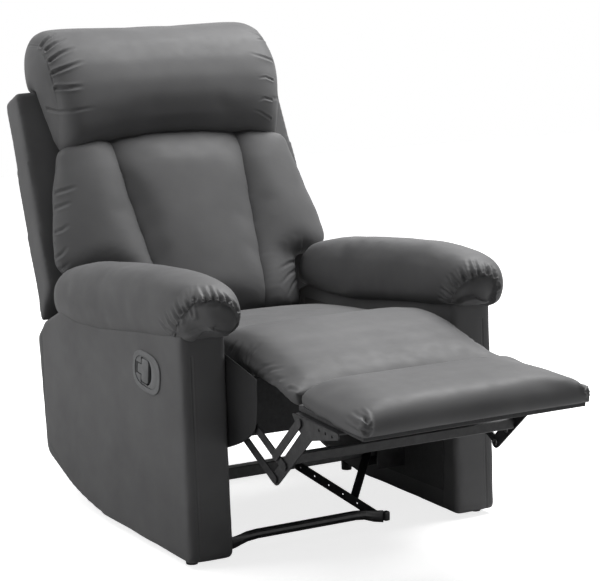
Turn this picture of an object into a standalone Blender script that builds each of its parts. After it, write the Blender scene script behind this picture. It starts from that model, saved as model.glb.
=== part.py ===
"""Recliner armchair with a pull latch, a folding footrest and a reclining back.

The chair faces -Y and stands on Z = 0. Left and right are as seen from the front.
Side outlines are drawn as (forward, height): forward is the distance ahead of the
arms' front plane, so it runs along -Y, and what lies behind that plane is negative.
"""
import math

import bmesh
import bpy
from mathutils import Matrix, Vector

# Driving dimensions, in metres
ARMS_WIDTH = 0.750          # over the two arm boxes, without the pillows' bulge
ARM_THICKNESS = 0.1005
ARM_DEPTH = 0.699           # from the arms' front plane to their rear corner
ARM_HEIGHT = 0.462          # top of the arm box at the front
ARM_BOTTOM = 0.010          # hem above the floor
FRONT_PLANE_Y = -0.2255     # the arms' front plane, which centres the whole chair on the origin
SEAT_TOP = 0.432            # at the seat's front edge
RECLINE_DEG = 24.5          # the back's lean from upright in the photographed pose
BACK_LENGTH = 0.638         # from the recline pivot to the top of the back frame
BACK_HALF_TOP = 0.343
BACK_HALF_BOTTOM = 0.366

# Fits
GAP = 0.0003                # between pieces that touch
PIN_CLEARANCE = 0.0003      # round a pin in its hole
OVERRUN = 0.010             # how far a cutter runs past what it cuts

# Derived sides
ARM_OUTER = ARMS_WIDTH / 2
ARM_INNER = ARM_OUTER - ARM_THICKNESS

SIDES = ((-1, "left"), (1, "right"))


# Scene and materials

def clear_scene():
    for obj in list(bpy.data.objects):
        bpy.data.objects.remove(obj, do_unlink=True)


def make_material(name, colour, roughness, metallic=0.0):
    material = bpy.data.materials.new(name)
    material.use_nodes = True
    shader = material.node_tree.nodes["Principled BSDF"]
    shader.inputs["Base Color"].default_value = (*colour, 1.0)
    shader.inputs["Roughness"].default_value = roughness
    shader.inputs["Metallic"].default_value = metallic
    return material


clear_scene()
LEATHER = make_material("grey_leather", (0.085, 0.085, 0.088), 0.46)
LINING = make_material("black_lining", (0.012, 0.012, 0.013), 0.85)
STEEL = make_material("black_steel", (0.020, 0.020, 0.022), 0.42, 0.6)
BRIGHT_STEEL = make_material("spring_steel", (0.35, 0.35, 0.36), 0.38, 0.9)
WOOD = make_material("pine_board", (0.52, 0.38, 0.22), 0.75)
PLASTIC = make_material("black_plastic", (0.022, 0.022, 0.024), 0.5)
BEZEL = make_material("grey_plastic", (0.045, 0.045, 0.047), 0.42)
WEBBING = make_material("elastic_webbing", (0.06, 0.06, 0.06), 0.9)


# Points and frames

def point(x, forward, height):
    return Vector((x, FRONT_PLANE_Y - forward, height))


def polar(length, degrees):
    angle = math.radians(degrees)
    return Vector((length * math.cos(angle), length * math.sin(angle)))


def curve_through(table, value):
    """Smooth value between the rows of a table of (key, value) pairs in rising key order."""
    if value <= table[0][0]:
        return table[0][1]
    for (k0, v0), (k1, v1) in zip(table, table[1:]):
        if value <= k1:
            share = (value - k0) / (k1 - k0)
            share = share * share * (3 - 2 * share)
            return v0 + (v1 - v0) * share
    return table[-1][1]


# Mesh makers: each returns a bmesh with its faces pointing out

def closed(bm):
    bm.normal_update()
    bmesh.ops.recalc_face_normals(bm, faces=bm.faces)
    return bm


def prism(outline, x_low, x_high):
    """A side outline of (forward, height) points, run across from x_low to x_high."""
    bm = bmesh.new()
    low = [bm.verts.new(point(x_low, f, z)) for f, z in outline]
    high = [bm.verts.new(point(x_high, f, z)) for f, z in outline]
    bm.faces.new(low)
    bm.faces.new(reversed(high))
    count = len(outline)
    for i in range(count):
        j = (i + 1) % count
        bm.faces.new((low[i], high[i], high[j], low[j]))
    return closed(bm)


def block(x_range, forward_range, height_range):
    (f0, f1), (z0, z1) = forward_range, height_range
    return prism([(f0, z0), (f1, z0), (f1, z1), (f0, z1)], *x_range)


def cylinder(start, end, radius, sides=16):
    """A round bar between two points."""
    axis = end - start
    bm = bmesh.new()
    bmesh.ops.create_cone(bm, cap_ends=True, segments=sides, radius1=radius, radius2=radius,
                          depth=axis.length)
    turn = axis.to_track_quat("Z", "Y").to_matrix().to_4x4()
    bm.transform(Matrix.Translation((start + end) / 2) @ turn)
    return closed(bm)


def loft(rings):
    """A closed skin over a row of rings with equal point counts, capped at both ends."""
    bm = bmesh.new()
    rows = [[bm.verts.new(p) for p in ring] for ring in rings]
    count = len(rows[0])
    for a, b in zip(rows, rows[1:]):
        for i in range(count):
            j = (i + 1) % count
            bm.faces.new((a[i], a[j], b[j], b[i]))
    for row in (rows[0], rows[-1]):
        middle = bm.verts.new(sum((v.co for v in row), Vector()) / count)
        for i in range(count):
            bm.faces.new((row[i], row[(i + 1) % count], middle))
    return closed(bm)


def pad(top, bottom, across, along):
    """A cushion between a top and a bottom surface, both functions of s and t from -1 to 1."""
    bm = bmesh.new()

    def sheet(surface):
        return [[bm.verts.new(surface(-1 + 2 * i / across, -1 + 2 * j / along))
                 for i in range(across + 1)] for j in range(along + 1)]

    upper, lower = sheet(top), sheet(bottom)
    for rows in (upper, lower):
        for a, b in zip(rows, rows[1:]):
            for i in range(across):
                bm.faces.new((a[i], a[i + 1], b[i + 1], b[i]))

    def border(rows):
        return (rows[0] + [row[-1] for row in rows[1:]] + rows[-1][-2::-1]
                + [row[0] for row in rows[-2:0:-1]])

    rim_up, rim_low = border(upper), border(lower)
    for i in range(len(rim_up)):
        j = (i + 1) % len(rim_up)
        bm.faces.new((rim_up[i], rim_up[j], rim_low[j], rim_low[i]))
    return closed(bm)


def sweep(route, radius, sides=8):
    """A round wire along a list of points, with flat ends square to the route."""
    rings = []
    for i, here in enumerate(route):
        before = route[max(i - 1, 0)]
        after = route[min(i + 1, len(route) - 1)]
        turn = (after - before).to_track_quat("Z", "Y").to_matrix()
        rings.append([here + turn @ Vector((radius * math.cos(k), radius * math.sin(k), 0))
                      for k in (2 * math.pi * n / sides for n in range(sides))])
    return loft(rings)


# Side outlines

def rounded(corners, radius, steps=3):
    """The corners of an outline, each cut by an arc-like curve that starts radius from it."""
    result = []
    count = len(corners)
    for i in range(count):
        here = Vector(corners[i])
        to_last = Vector(corners[i - 1]) - here
        to_next = Vector(corners[(i + 1) % count]) - here
        reach = min(radius, to_last.length / 2, to_next.length / 2)
        a = here + to_last.normalized() * reach
        b = here + to_next.normalized() * reach
        for k in range(steps + 1):
            t = k / steps
            p = a * (1 - t) ** 2 + here * 2 * t * (1 - t) + b * t ** 2
            result.append((p.x, p.y))
    return result


def bar_outline(start, end, radius_start, radius_end, steps=6):
    """A flat bar with round ends about two pivots."""
    direction = (end - start).normalized()
    angle = math.atan2(direction.y, direction.x)
    result = []
    for centre, radius, first in ((end, radius_end, angle - math.pi / 2),
                                  (start, radius_start, angle + math.pi / 2)):
        for k in range(steps + 1):
            turn = first + math.pi * k / steps
            result.append((centre.x + radius * math.cos(turn),
                           centre.y + radius * math.sin(turn)))
    return result


# Objects

def add_piece(name, bm, material, pivot=None, smooth_deg=35.0):
    """Puts a mesh into the scene as a named piece whose origin is its pivot."""
    origin = Vector((0, 0, 0)) if pivot is None else pivot
    bm.transform(Matrix.Translation(-origin))
    mesh = bpy.data.meshes.new(name)
    bm.to_mesh(mesh)
    bm.free()
    mesh.materials.append(material)
    mesh.shade_smooth()
    mesh.set_sharp_from_angle(angle=math.radians(smooth_deg))
    obj = bpy.data.objects.new(name, mesh)
    obj.location = origin
    bpy.context.scene.collection.objects.link(obj)
    return obj


def combine(bm, tool, operation):
    """A Boolean of two bmeshes; both are used up and the result is a new bmesh."""
    target_obj = temporary("target", bm)
    tool_obj = temporary("tool", tool)
    modifier = target_obj.modifiers.new("cut", "BOOLEAN")
    modifier.operation = operation
    modifier.solver = "EXACT"
    modifier.object = tool_obj
    bpy.context.view_layer.update()
    evaluated = target_obj.evaluated_get(bpy.context.evaluated_depsgraph_get())
    result = bmesh.new()
    result.from_mesh(evaluated.to_mesh())
    evaluated.to_mesh_clear()
    for obj in (target_obj, tool_obj):
        mesh = obj.data
        bpy.data.objects.remove(obj)
        bpy.data.meshes.remove(mesh)
    return result


def temporary(name, bm):
    mesh = bpy.data.meshes.new(name)
    bm.to_mesh(mesh)
    bm.free()
    obj = bpy.data.objects.new(name, mesh)
    bpy.context.scene.collection.objects.link(obj)
    return obj


def cut(bm, *tools):
    for tool in tools:
        bm = combine(bm, tool, "DIFFERENCE")
    return bm


def join(bm, *tools):
    for tool in tools:
        bm = combine(bm, tool, "UNION")
    return bm


def soften(bm, width, segments=2, limit_deg=30.0):
    """Rounds the edges that turn more than a limit."""
    edges = [e for e in bm.edges
             if len(e.link_faces) == 2 and e.calc_face_angle() > math.radians(limit_deg)]
    bmesh.ops.bevel(bm, geom=edges, offset=width, segments=segments, profile=0.5,
                    affect="EDGES", clamp_overlap=True)
    return closed(bm)


# Arms

WALL = 0.005                # padded skin of the arm boxes and the back
FRONT_LEAN = 0.024          # how far the foot of the arm's front stands ahead of its top
ARM_EDGE_RADIUS = 0.007
HOLLOW_DROP = 0.030         # how far the cover's cavity runs out below its hem
ARCH_HEIGHT = 0.044         # the inner wall's hem above the outer wall's hem
ARCH_START = 0.035          # depth of the front post's foot
ARCH_RISE = 0.065           # over which the inner hem climbs

# The arm box seen from the side: shares of ARM_DEPTH and of ARM_HEIGHT - ARM_BOTTOM
ARM_OUTLINE_SHARES = (
    (0.0, 1.0), (-0.170, 0.973), (-0.322, 0.948), (-0.527, 0.905), (-0.700, 0.896),
    (-0.822, 0.914), (-0.880, 0.904), (-0.950, 0.857), (-1.0, 0.768), (-0.958, 0.217),
    (-0.940, 0.182), (-0.857, 0.131), (-0.784, 0.086), (-0.708, 0.055), (-0.645, 0.035),
    (-0.540, 0.012),
)
ARM_TOP_POINTS = 7          # the first of these run along the arm's top


def arm_outline(inset=0.0, drop=0.0):
    """The arm box's side outline, drawn in by inset, or with its hem lowered by drop."""
    height = ARM_HEIGHT - ARM_BOTTOM
    points = [(FRONT_LEAN, ARM_BOTTOM)]
    points += [(f * ARM_DEPTH, ARM_BOTTOM + z * height) for f, z in ARM_OUTLINE_SHARES]
    if not inset:
        return points
    return inset_outline(points, inset, drop)


def inset_outline(points, inset, drop):
    """Moves each side of an outline inward; sides that face down move down by drop instead."""
    count = len(points)
    area = sum(points[i][0] * points[(i + 1) % count][1] - points[(i + 1) % count][0] * points[i][1]
               for i in range(count))
    turn = 1 if area > 0 else -1
    lines = []
    for i in range(count):
        a, b = Vector(points[i]), Vector(points[(i + 1) % count])
        along = (b - a).normalized()
        inward = Vector((-along.y, along.x)) * turn
        faces_down = inward.y > math.cos(math.radians(40))
        lines.append((a + inward * (-drop if faces_down and drop else inset), along))
    result = []
    for i in range(count):
        (a, u), (b, v) = lines[i - 1], lines[i]
        cross = u.x * v.y - u.y * v.x
        if abs(cross) < 1e-6:
            result.append((b.x, b.y))
            continue
        d = b - a
        t = (d.x * v.y - d.y * v.x) / cross
        result.append((a.x + u.x * t, a.y + u.y * t))
    return result


def mirrored(side, low, high):
    """An x range on one side of the chair, lowest first."""
    return (side * low, side * high) if side > 0 else (side * high, side * low)


# Latch opening in the left arm: (forward, height) of its middle and its size
LATCH_DROP = 0.088           # its middle below the arm's top at the front
LATCH_MIDDLE = Vector((-0.148, ARM_HEIGHT - LATCH_DROP))
LATCH_LENGTH = 0.100
LATCH_HEIGHT = 0.062
LATCH_TILT_DEG = -6.0
LATCH_SQUARENESS = 2.8
LATCH_DEPTH = 0.032
LATCH_WALL = 0.0025
BEZEL_BAND = 0.0085
BEZEL_THICKNESS = 0.0035


def level_oval(grow, steps=20):
    """A rounded oblong as (along, up) from its middle, grown outward by grow."""
    half_length = LATCH_LENGTH / 2 + grow
    half_height = LATCH_HEIGHT / 2 + grow
    power = 2 / LATCH_SQUARENESS
    result = []
    for k in range(steps):
        c, s = math.cos(2 * math.pi * k / steps), math.sin(2 * math.pi * k / steps)
        result.append((math.copysign(abs(c) ** power, c) * half_length,
                       math.copysign(abs(s) ** power, s) * half_height))
    return result


def tilted(along, up):
    """A point of the latch's own frame, in (forward, height)."""
    tilt = math.radians(LATCH_TILT_DEG)
    return (LATCH_MIDDLE.x + along * math.cos(tilt) - up * math.sin(tilt),
            LATCH_MIDDLE.y + along * math.sin(tilt) + up * math.cos(tilt))


def latch_oval(grow):
    return [tilted(a, b) for a, b in level_oval(grow)]


def cup_half_height(along):
    """Half the height of the cup's hollow at a distance along it."""
    points = level_oval(0.0)
    for (a0, b0), (a1, b1) in zip(points, points[1:]):
        if a1 <= along <= a0:
            return b0 + (b1 - b0) * (a0 - along) / (a0 - a1)
    return 0.0


CABLE_RADIUS = 0.0025
CABLE_HOLE_RADIUS = 0.005
FRAME_POST_SHARE = -0.48     # the arm frame's middle post, as a share of the arm's depth
CABLE_EXIT_AHEAD = 0.0355    # the cable leaves the arm ahead of that post, on its inner wall
CABLE_EXIT = Vector((FRAME_POST_SHARE * ARM_DEPTH + CABLE_EXIT_AHEAD, 0.315))


def make_arms():
    for side, word in SIDES:
        body = soften(prism(arm_outline(), *mirrored(side, ARM_INNER, ARM_OUTER)),
                      ARM_EDGE_RADIUS)
        cavity = prism(arm_outline(WALL, HOLLOW_DROP),
                       *mirrored(side, ARM_INNER + WALL, ARM_OUTER - WALL))
        arch = [(-ARCH_START, ARM_BOTTOM - OVERRUN), (-ARCH_START, ARM_BOTTOM),
                (-ARCH_START - ARCH_RISE, ARM_BOTTOM + ARCH_HEIGHT),
                (-ARM_DEPTH * 0.72, ARM_BOTTOM + ARCH_HEIGHT),
                (-ARM_DEPTH * 0.72, ARM_BOTTOM - OVERRUN)]
        inner_arch = prism(arch, *mirrored(side, ARM_INNER - OVERRUN, ARM_INNER + WALL + OVERRUN))
        body = cut(body, cavity, inner_arch)
        if side < 0:
            window = prism(latch_oval(LATCH_WALL + GAP), -ARM_OUTER - OVERRUN,
                           -ARM_OUTER + WALL + OVERRUN)
            hole = cylinder(point(-ARM_INNER - WALL - OVERRUN, *CABLE_EXIT),
                            point(-ARM_INNER + OVERRUN, *CABLE_EXIT), CABLE_HOLE_RADIUS)
            body = cut(body, window, hole)
        add_piece(word + "_arm_cover", body, LEATHER)
        make_arm_frame(side, word)
        make_lining(side, word)
        make_arm_pillow(side, word)
        make_glides(side, word)


FRAME_RAIL = 0.036          # width of the wooden rails in the arms
# The window of the arm's frame below its sloping top: shares as in ARM_OUTLINE_SHARES
FRAME_WINDOW_SHARES = ((-0.90, 0.76), (-0.90, 0.245), (-0.70, 0.205), (-0.60, 0.18),
                       (-0.052, 0.18))
FRAME_ARCH_INNER = 0.050    # under the frame's inner half, so that it stays hidden
FRAME_ARCH_OUTER = 0.027


def make_arm_frame(side, word):
    """A ladder of boards that fills the cover's width and stands on the glides."""
    x_range = mirrored(side, ARM_INNER + WALL + GAP, ARM_OUTER - WALL - GAP)
    through = (x_range[0] - OVERRUN, x_range[1] + OVERRUN)
    middle_x = (ARM_INNER + ARM_OUTER) / 2
    rail_drop = WALL + GAP + FRAME_RAIL
    front, rear = FRAME_WINDOW_SHARES[-1][0] * ARM_DEPTH, -0.82 * ARM_DEPTH
    window = [(front, arm_top_at(front) - rail_drop), (rear, arm_top_at(rear) - rail_drop)]
    window += [(f * ARM_DEPTH, ARM_BOTTOM + z * (ARM_HEIGHT - ARM_BOTTOM))
               for f, z in FRAME_WINDOW_SHARES]
    body = prism(arm_outline(WALL + GAP), *x_range)
    for rise, across in ((FRAME_ARCH_OUTER, through),
                         (FRAME_ARCH_INNER, mirrored(side, ARM_INNER - OVERRUN, middle_x))):
        arch = [(-ARCH_START - GAP, ARM_BOTTOM - OVERRUN), (-ARCH_START - GAP, ARM_BOTTOM),
                (-ARCH_START - ARCH_RISE, ARM_BOTTOM + rise),
                (-ARM_DEPTH * 0.70, ARM_BOTTOM + rise),
                (-ARM_DEPTH * 0.80, ARM_BOTTOM - OVERRUN)]
        body = cut(body, prism(arch, *across))
    body = cut(body, prism(window, *through))
    middle = FRAME_POST_SHARE * ARM_DEPTH
    post = block(x_range, (middle - FRAME_RAIL / 2, middle + FRAME_RAIL / 2),
                 (ARM_BOTTOM + FRAME_RAIL * 1.8, arm_top_at(middle) - rail_drop * 0.8))
    body = join(body, post)
    if side < 0:
        notch = prism(latch_oval(LATCH_WALL + GAP), -ARM_OUTER - OVERRUN,
                      -ARM_OUTER + LATCH_DEPTH + GAP)
        body = cut(body, notch)
    add_piece(word + "_arm_frame", body, WOOD)


LINING_THICKNESS = 0.0015
LINING_FRONT = -0.030       # the lining starts behind the front post's leather wrap
LINING_TOP = 0.395


def make_lining(side, word):
    outline = [(LINING_FRONT, ARM_BOTTOM + ARCH_HEIGHT + 2 * GAP), (LINING_FRONT, LINING_TOP),
               (-ARM_DEPTH * 0.86, LINING_TOP),
               (-ARM_DEPTH * 0.88, ARM_BOTTOM + ARCH_HEIGHT * 1.9),
               (-ARM_DEPTH * 0.74, ARM_BOTTOM + ARCH_HEIGHT + 2 * GAP)]
    body = prism(outline, *mirrored(side, ARM_INNER - GAP - LINING_THICKNESS, ARM_INNER - GAP))
    if side < 0:
        body = cut(body, cylinder(point(-ARM_INNER - OVERRUN, *CABLE_EXIT),
                                  point(-ARM_INNER + OVERRUN, *CABLE_EXIT), CABLE_HOLE_RADIUS))
    add_piece(word + "_arm_lining", body, LINING)


# Arm pillow: how far it stands out beyond the arm box, and its stations from rear to front
PILLOW_OUTER_BULGE = 0.013
PILLOW_INNER_BULGE = 0.027
PILLOW_HEIGHT = 0.115       # its highest point above the front of the arm box's top
PILLOW_SQUARENESS = 2.5
# Shares of ARM_DEPTH forward, of PILLOW_HEIGHT for its top and for its underside above the arm
# box, and of its width. Its rings stand where the arm box's top bends.
PILLOW_STATION_SHARES = (
    (-0.907, 0.0, 0.190, 0.40), (-0.8956, 0.174, 0.087, 0.62), (-0.880, 0.313, 0.0, 0.77),
    (-0.822, 0.535, 0.0, 0.93), (-0.700, 0.705, 0.0, 1.0), (-0.527, 0.833, 0.0, 1.0),
    (-0.322, 0.944, 0.0, 1.0), (-0.170, 0.996, 0.0, 1.0), (-0.086, 1.0, 0.0, 1.0),
    (-0.0215, 0.974, 0.0, 0.97), (0.036, 0.922, 0.026, 0.89), (0.080, 0.826, 0.104, 0.73),
    (0.109, 0.722, 0.190, 0.52), (0.127, 0.591, 0.330, 0.27),
)


def arm_top_at(forward):
    """Height of the arm box's top at a distance ahead of the front plane."""
    share = min(forward / ARM_DEPTH, 0.0)
    for (f0, z0), (f1, z1) in zip(ARM_OUTLINE_SHARES, ARM_OUTLINE_SHARES[1:ARM_TOP_POINTS]):
        if share >= f1:
            height = z0 + (z1 - z0) * (share - f0) / (f1 - f0)
            return ARM_BOTTOM + height * (ARM_HEIGHT - ARM_BOTTOM)
    return ARM_BOTTOM + ARM_OUTLINE_SHARES[ARM_TOP_POINTS - 1][1] * (ARM_HEIGHT - ARM_BOTTOM)


def make_arm_pillow(side, word):
    inner, outer = ARM_INNER - PILLOW_INNER_BULGE, ARM_OUTER + PILLOW_OUTER_BULGE
    middle, half = (inner + outer) / 2, (outer - inner) / 2
    sides = 16
    power = 2 / PILLOW_SQUARENESS
    rings = []
    for forward_share, top_share, lift_share, width in PILLOW_STATION_SHARES:
        forward = forward_share * ARM_DEPTH
        top = ARM_HEIGHT + top_share * PILLOW_HEIGHT
        low = arm_top_at(forward) + GAP + lift_share * PILLOW_HEIGHT
        waist = low + (top - low) * 0.42
        ring = []
        for k in range(sides):
            angle = 2 * math.pi * k / sides
            c, s = math.cos(angle), math.sin(angle)
            across = math.copysign(abs(c) ** power, c) * half * width
            rise = math.copysign(abs(s) ** power, s)
            height = waist + rise * ((top - waist) if s > 0 else (waist - low) * 1.12)
            ring.append(point(side * (middle + across), forward, max(height, low)))
        rings.append(ring)
    add_piece(word + "_arm_pillow", loft(rings), LEATHER, smooth_deg=70.0)


GLIDE_RADIUS = 0.014
GLIDE_TAPER = 0.002
GLIDE_INSET = 0.020          # from the arm's outer or inner wall to the glide's middle
# (place, x, share of ARM_DEPTH, height up to the wooden frame inside the arm)
GLIDES = (("front", ARM_OUTER - WALL - GLIDE_INSET, -0.026, ARM_BOTTOM + WALL),
          ("rear", ARM_INNER + WALL + GLIDE_INSET, -0.665, ARM_BOTTOM + FRAME_ARCH_INNER - GAP))


def make_glides(side, word):
    for place, x, share, height in GLIDES:
        foot = point(side * x, share * ARM_DEPTH, height / 2)
        body = bmesh.new()
        bmesh.ops.create_cone(body, cap_ends=True, segments=20, radius1=GLIDE_RADIUS - GLIDE_TAPER,
                              radius2=GLIDE_RADIUS, depth=height)
        body.transform(Matrix.Translation(foot))
        add_piece(word + "_" + place + "_glide", closed(body), PLASTIC)


# Latch: a recessed cup in the left arm, a lever hinged on its rear wall, and its cable

LEVER_THICKNESS = 0.005
LEVER_INSET = 0.004          # lever's face below the arm's surface
LEVER_PIN_FORWARD = -0.043   # the hinge line from the latch's middle, towards the rear
LEVER_TAB_LENGTH = 0.020
LEVER_TAB_HEIGHT = 0.020
LEVER_BODY_LENGTH = 0.030
LEVER_BODY_HEIGHT = 0.050
LEVER_BARREL_RADIUS = 0.0035
LEVER_BARREL_HEIGHT = 0.022
LEVER_PIN_RADIUS = 0.0015    # the pin runs through the barrel from wall to wall of the cup


LEVER_PIVOT_X = -(ARM_OUTER - LEVER_INSET - LEVER_THICKNESS / 2)
LEVER_PIVOT = tilted(LEVER_PIN_FORWARD, 0.0)


def make_latch():
    surface = -ARM_OUTER
    bezel = prism(latch_oval(LATCH_WALL + BEZEL_BAND), surface - GAP - BEZEL_THICKNESS,
                  surface - GAP)
    bezel = soften(bezel, BEZEL_THICKNESS * 0.6)
    cup = prism(latch_oval(LATCH_WALL), surface - GAP - BEZEL_THICKNESS / 2,
                surface + LATCH_DEPTH)
    hollow = prism(latch_oval(0.0), surface - GAP - BEZEL_THICKNESS - OVERRUN,
                   surface + LATCH_DEPTH - LATCH_WALL)
    cable_eye = cylinder(point(surface + LATCH_DEPTH - LATCH_WALL - OVERRUN, *LATCH_CABLE_POINT),
                         point(surface + LATCH_DEPTH + OVERRUN, *LATCH_CABLE_POINT),
                         CABLE_RADIUS + GAP, 12)
    add_piece("latch_housing", cut(join(bezel, cup), hollow, cable_eye), BEZEL)

    x_out = surface + LEVER_INSET
    x_in = x_out + LEVER_THICKNESS
    tab_start = LEVER_PIN_FORWARD
    tab_end = tab_start + LEVER_TAB_LENGTH
    body_end = tab_end + LEVER_BODY_LENGTH
    half_tab, half_body = LEVER_TAB_HEIGHT / 2, LEVER_BODY_HEIGHT / 2
    shape = [tilted(a, b) for a, b in (
        (tab_start, -half_tab), (tab_end, -half_tab), (tab_end, -half_body),
        (body_end, -half_body), (body_end, half_body), (tab_end, half_body),
        (tab_end, half_tab), (tab_start, half_tab))]
    lever = soften(prism(rounded(shape, LEVER_THICKNESS, 2), x_out, x_in), LEVER_THICKNESS * 0.2, 1)
    pin_half = cup_half_height(tab_start - LEVER_PIN_RADIUS) - GAP
    for half, radius in ((LEVER_BARREL_HEIGHT / 2, LEVER_BARREL_RADIUS), (pin_half, LEVER_PIN_RADIUS)):
        lever = join(lever, cylinder(point(LEVER_PIVOT_X, *tilted(tab_start, -half)),
                                     point(LEVER_PIVOT_X, *tilted(tab_start, half)), radius, 14))
    pivot = point(LEVER_PIVOT_X, *LEVER_PIVOT)
    add_piece("latch_lever", lever, PLASTIC, pivot)


LATCH_CABLE_POINT = tilted(-0.030, 0.0)
# Bends of the cable, as steps from its start and from its end
CABLE_START_BENDS = ((0.016, 0.004, -0.002), (0.030, 0.040, -0.030))
CABLE_END_BENDS = ((-0.030, -0.050, 0.002), (-0.016, -0.004, 0.0))
CABLE_STEPS = 26


def make_cable():
    """The cable runs from the cup's floor, through the arm, to a stop on the side plate."""
    start = point(-ARM_OUTER + LATCH_DEPTH + GAP, *LATCH_CABLE_POINT)
    end = point(-ARM_INNER + GAP + LINING_THICKNESS, *CABLE_EXIT)
    knots = [start, *(start + Vector(bend) for bend in CABLE_START_BENDS),
             *(end + Vector(bend) for bend in CABLE_END_BENDS), end]
    route = []
    spans = len(knots) - 1
    for n in range(CABLE_STEPS + 1):
        place = n / CABLE_STEPS * spans
        i = min(int(place), spans - 1)
        t = place - i
        p0, p1 = knots[max(i - 1, 0)], knots[i]
        p2, p3 = knots[i + 1], knots[min(i + 2, spans)]
        route.append(0.5 * (2 * p1 + (p2 - p0) * t + (2 * p0 - 5 * p1 + 4 * p2 - p3) * t * t
                            + (3 * p1 - p0 - 3 * p2 + p3) * t ** 3))
    add_piece("latch_cable", sweep(route, CABLE_RADIUS), PLASTIC, smooth_deg=60.0)


# Footrest linkage: an exact parallel linkage, so the foot board turns about one fixed point

FOLD_CENTRE = Vector((0.090, 0.435))      # the point that the foot board turns about
BOARD_PIVOT = Vector((0.303, 0.326))      # the lift link's upper pin, on the ottoman bracket
LIFT_LENGTH = 0.124                       # between the lift link's upper and middle pins
LIFT_DEG = 43.0
GUIDE_OFFSET = 0.050                      # from the drive link down to the guide link
FRONT_OFFSET = 0.030                      # from the lift link back to the front link

LIFT = polar(LIFT_LENGTH, LIFT_DEG)
DRIVE = BOARD_PIVOT - FOLD_CENTRE         # the drive link, from the side plate to the lift link
DRIVE_WAY = DRIVE.normalized()
LIFT_WAY = LIFT.normalized()
PIN_B = FOLD_CENTRE - LIFT                # drive link on the side plate
PIN_D = BOARD_PIVOT - LIFT                # drive link on the lift link
PIN_A = PIN_B - LIFT_WAY * GUIDE_OFFSET   # guide link on the side plate
PIN_C = PIN_D - LIFT_WAY * GUIDE_OFFSET   # guide link on the lift link
PIN_G = PIN_D - DRIVE_WAY * FRONT_OFFSET  # front link on the drive link
PIN_E = BOARD_PIVOT
PIN_F = BOARD_PIVOT - DRIVE_WAY * FRONT_OFFSET

PLATE = 0.003
LAYER_GAP = 0.0008
PIN_RADIUS = 0.004
HEAD_RADIUS = 0.0075
HEAD_THICKNESS = 0.002
LINK_RADIUS = 0.009

# Plates are stacked inward from the lining in three layers
LAYER_1 = ARM_INNER - GAP - LINING_THICKNESS - GAP
LAYER_2 = LAYER_1 - PLATE - LAYER_GAP
LAYER_3 = LAYER_2 - PLATE - LAYER_GAP


def layer(side, outer):
    return mirrored(side, outer - PLATE, outer)


def hole(side, outer, centre):
    return cylinder(point(side * (outer - PLATE - OVERRUN), *centre),
                    point(side * (outer + OVERRUN), *centre), PIN_RADIUS + PIN_CLEARANCE)


def pin(side, centre, x_from, x_to):
    return cylinder(point(side * x_from, *centre), point(side * x_to, *centre), PIN_RADIUS)


def pin_head(side, centre, x_from):
    """A rivet head that stands inward from x_from."""
    return cylinder(point(side * x_from, *centre),
                    point(side * (x_from - HEAD_THICKNESS), *centre), HEAD_RADIUS)


def headed_pin_in(side, centre):
    """A pin that stands inward from layer 1 through layer 2, with its head beyond."""
    seat = LAYER_2 - PLATE - GAP
    return (pin(side, centre, LAYER_1 - PLATE / 2, seat - HEAD_THICKNESS / 2),
            pin_head(side, centre, seat))


def pin_out(side, centre):
    """A pin that stands outward from layer 3 and ends flush with layer 2."""
    return pin(side, centre, LAYER_3 - PLATE / 2, LAYER_2)


# Side plate: holds the pivots of both linkages and carries the seat frame on its flange
RECLINE_SETBACK = 0.144      # from the arms' rear end forward to the recline pivot
RECLINE_PIVOT = Vector((-(ARM_DEPTH - RECLINE_SETBACK), 0.330))
SEAT_FRAME_BOTTOM = 0.3183
FLANGE_WIDTH = 0.046
FLANGE_FRONT = -0.095
FLANGE_REAR = -0.470
PLATE_EDGE = 0.014          # plate left round a pivot


def side_plate_outline():
    top = SEAT_FRAME_BOTTOM - GAP + PLATE_EDGE
    low = PIN_A.y - PLATE_EDGE * 1.2
    nose = PIN_B.x + PLATE_EDGE
    heel = RECLINE_PIVOT.x - PLATE_EDGE * 1.6
    return rounded([
        (nose, PIN_B.y + PLATE_EDGE), (nose, PIN_B.y - PLATE_EDGE), (PIN_A.x + PLATE_EDGE, low),
        (RECLINE_PIVOT.x + PLATE_EDGE * 4, low), (heel, RECLINE_PIVOT.y - PLATE_EDGE),
        (heel, RECLINE_PIVOT.y + PLATE_EDGE), (FLANGE_REAR, top), (FLANGE_FRONT, top),
        (PIN_B.x - PLATE_EDGE, PIN_B.y + PLATE_EDGE)], PLATE_EDGE * 0.6)


def make_side_plates():
    for side, word in SIDES:
        body = prism(side_plate_outline(), *layer(side, LAYER_1))
        top = SEAT_FRAME_BOTTOM - GAP
        flange = block(mirrored(side, LAYER_1 - FLANGE_WIDTH, LAYER_1 - PLATE / 2),
                       (FLANGE_REAR, FLANGE_FRONT), (top - PLATE, top))
        parts = [flange]
        for centre in (PIN_A, PIN_B, RECLINE_PIVOT):
            parts += headed_pin_in(side, centre)
        add_piece(word + "_side_plate", join(body, *parts), STEEL)


LIFT_TOP_RADIUS = 0.016
LIFT_LOW_RADIUS = 0.013


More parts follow.
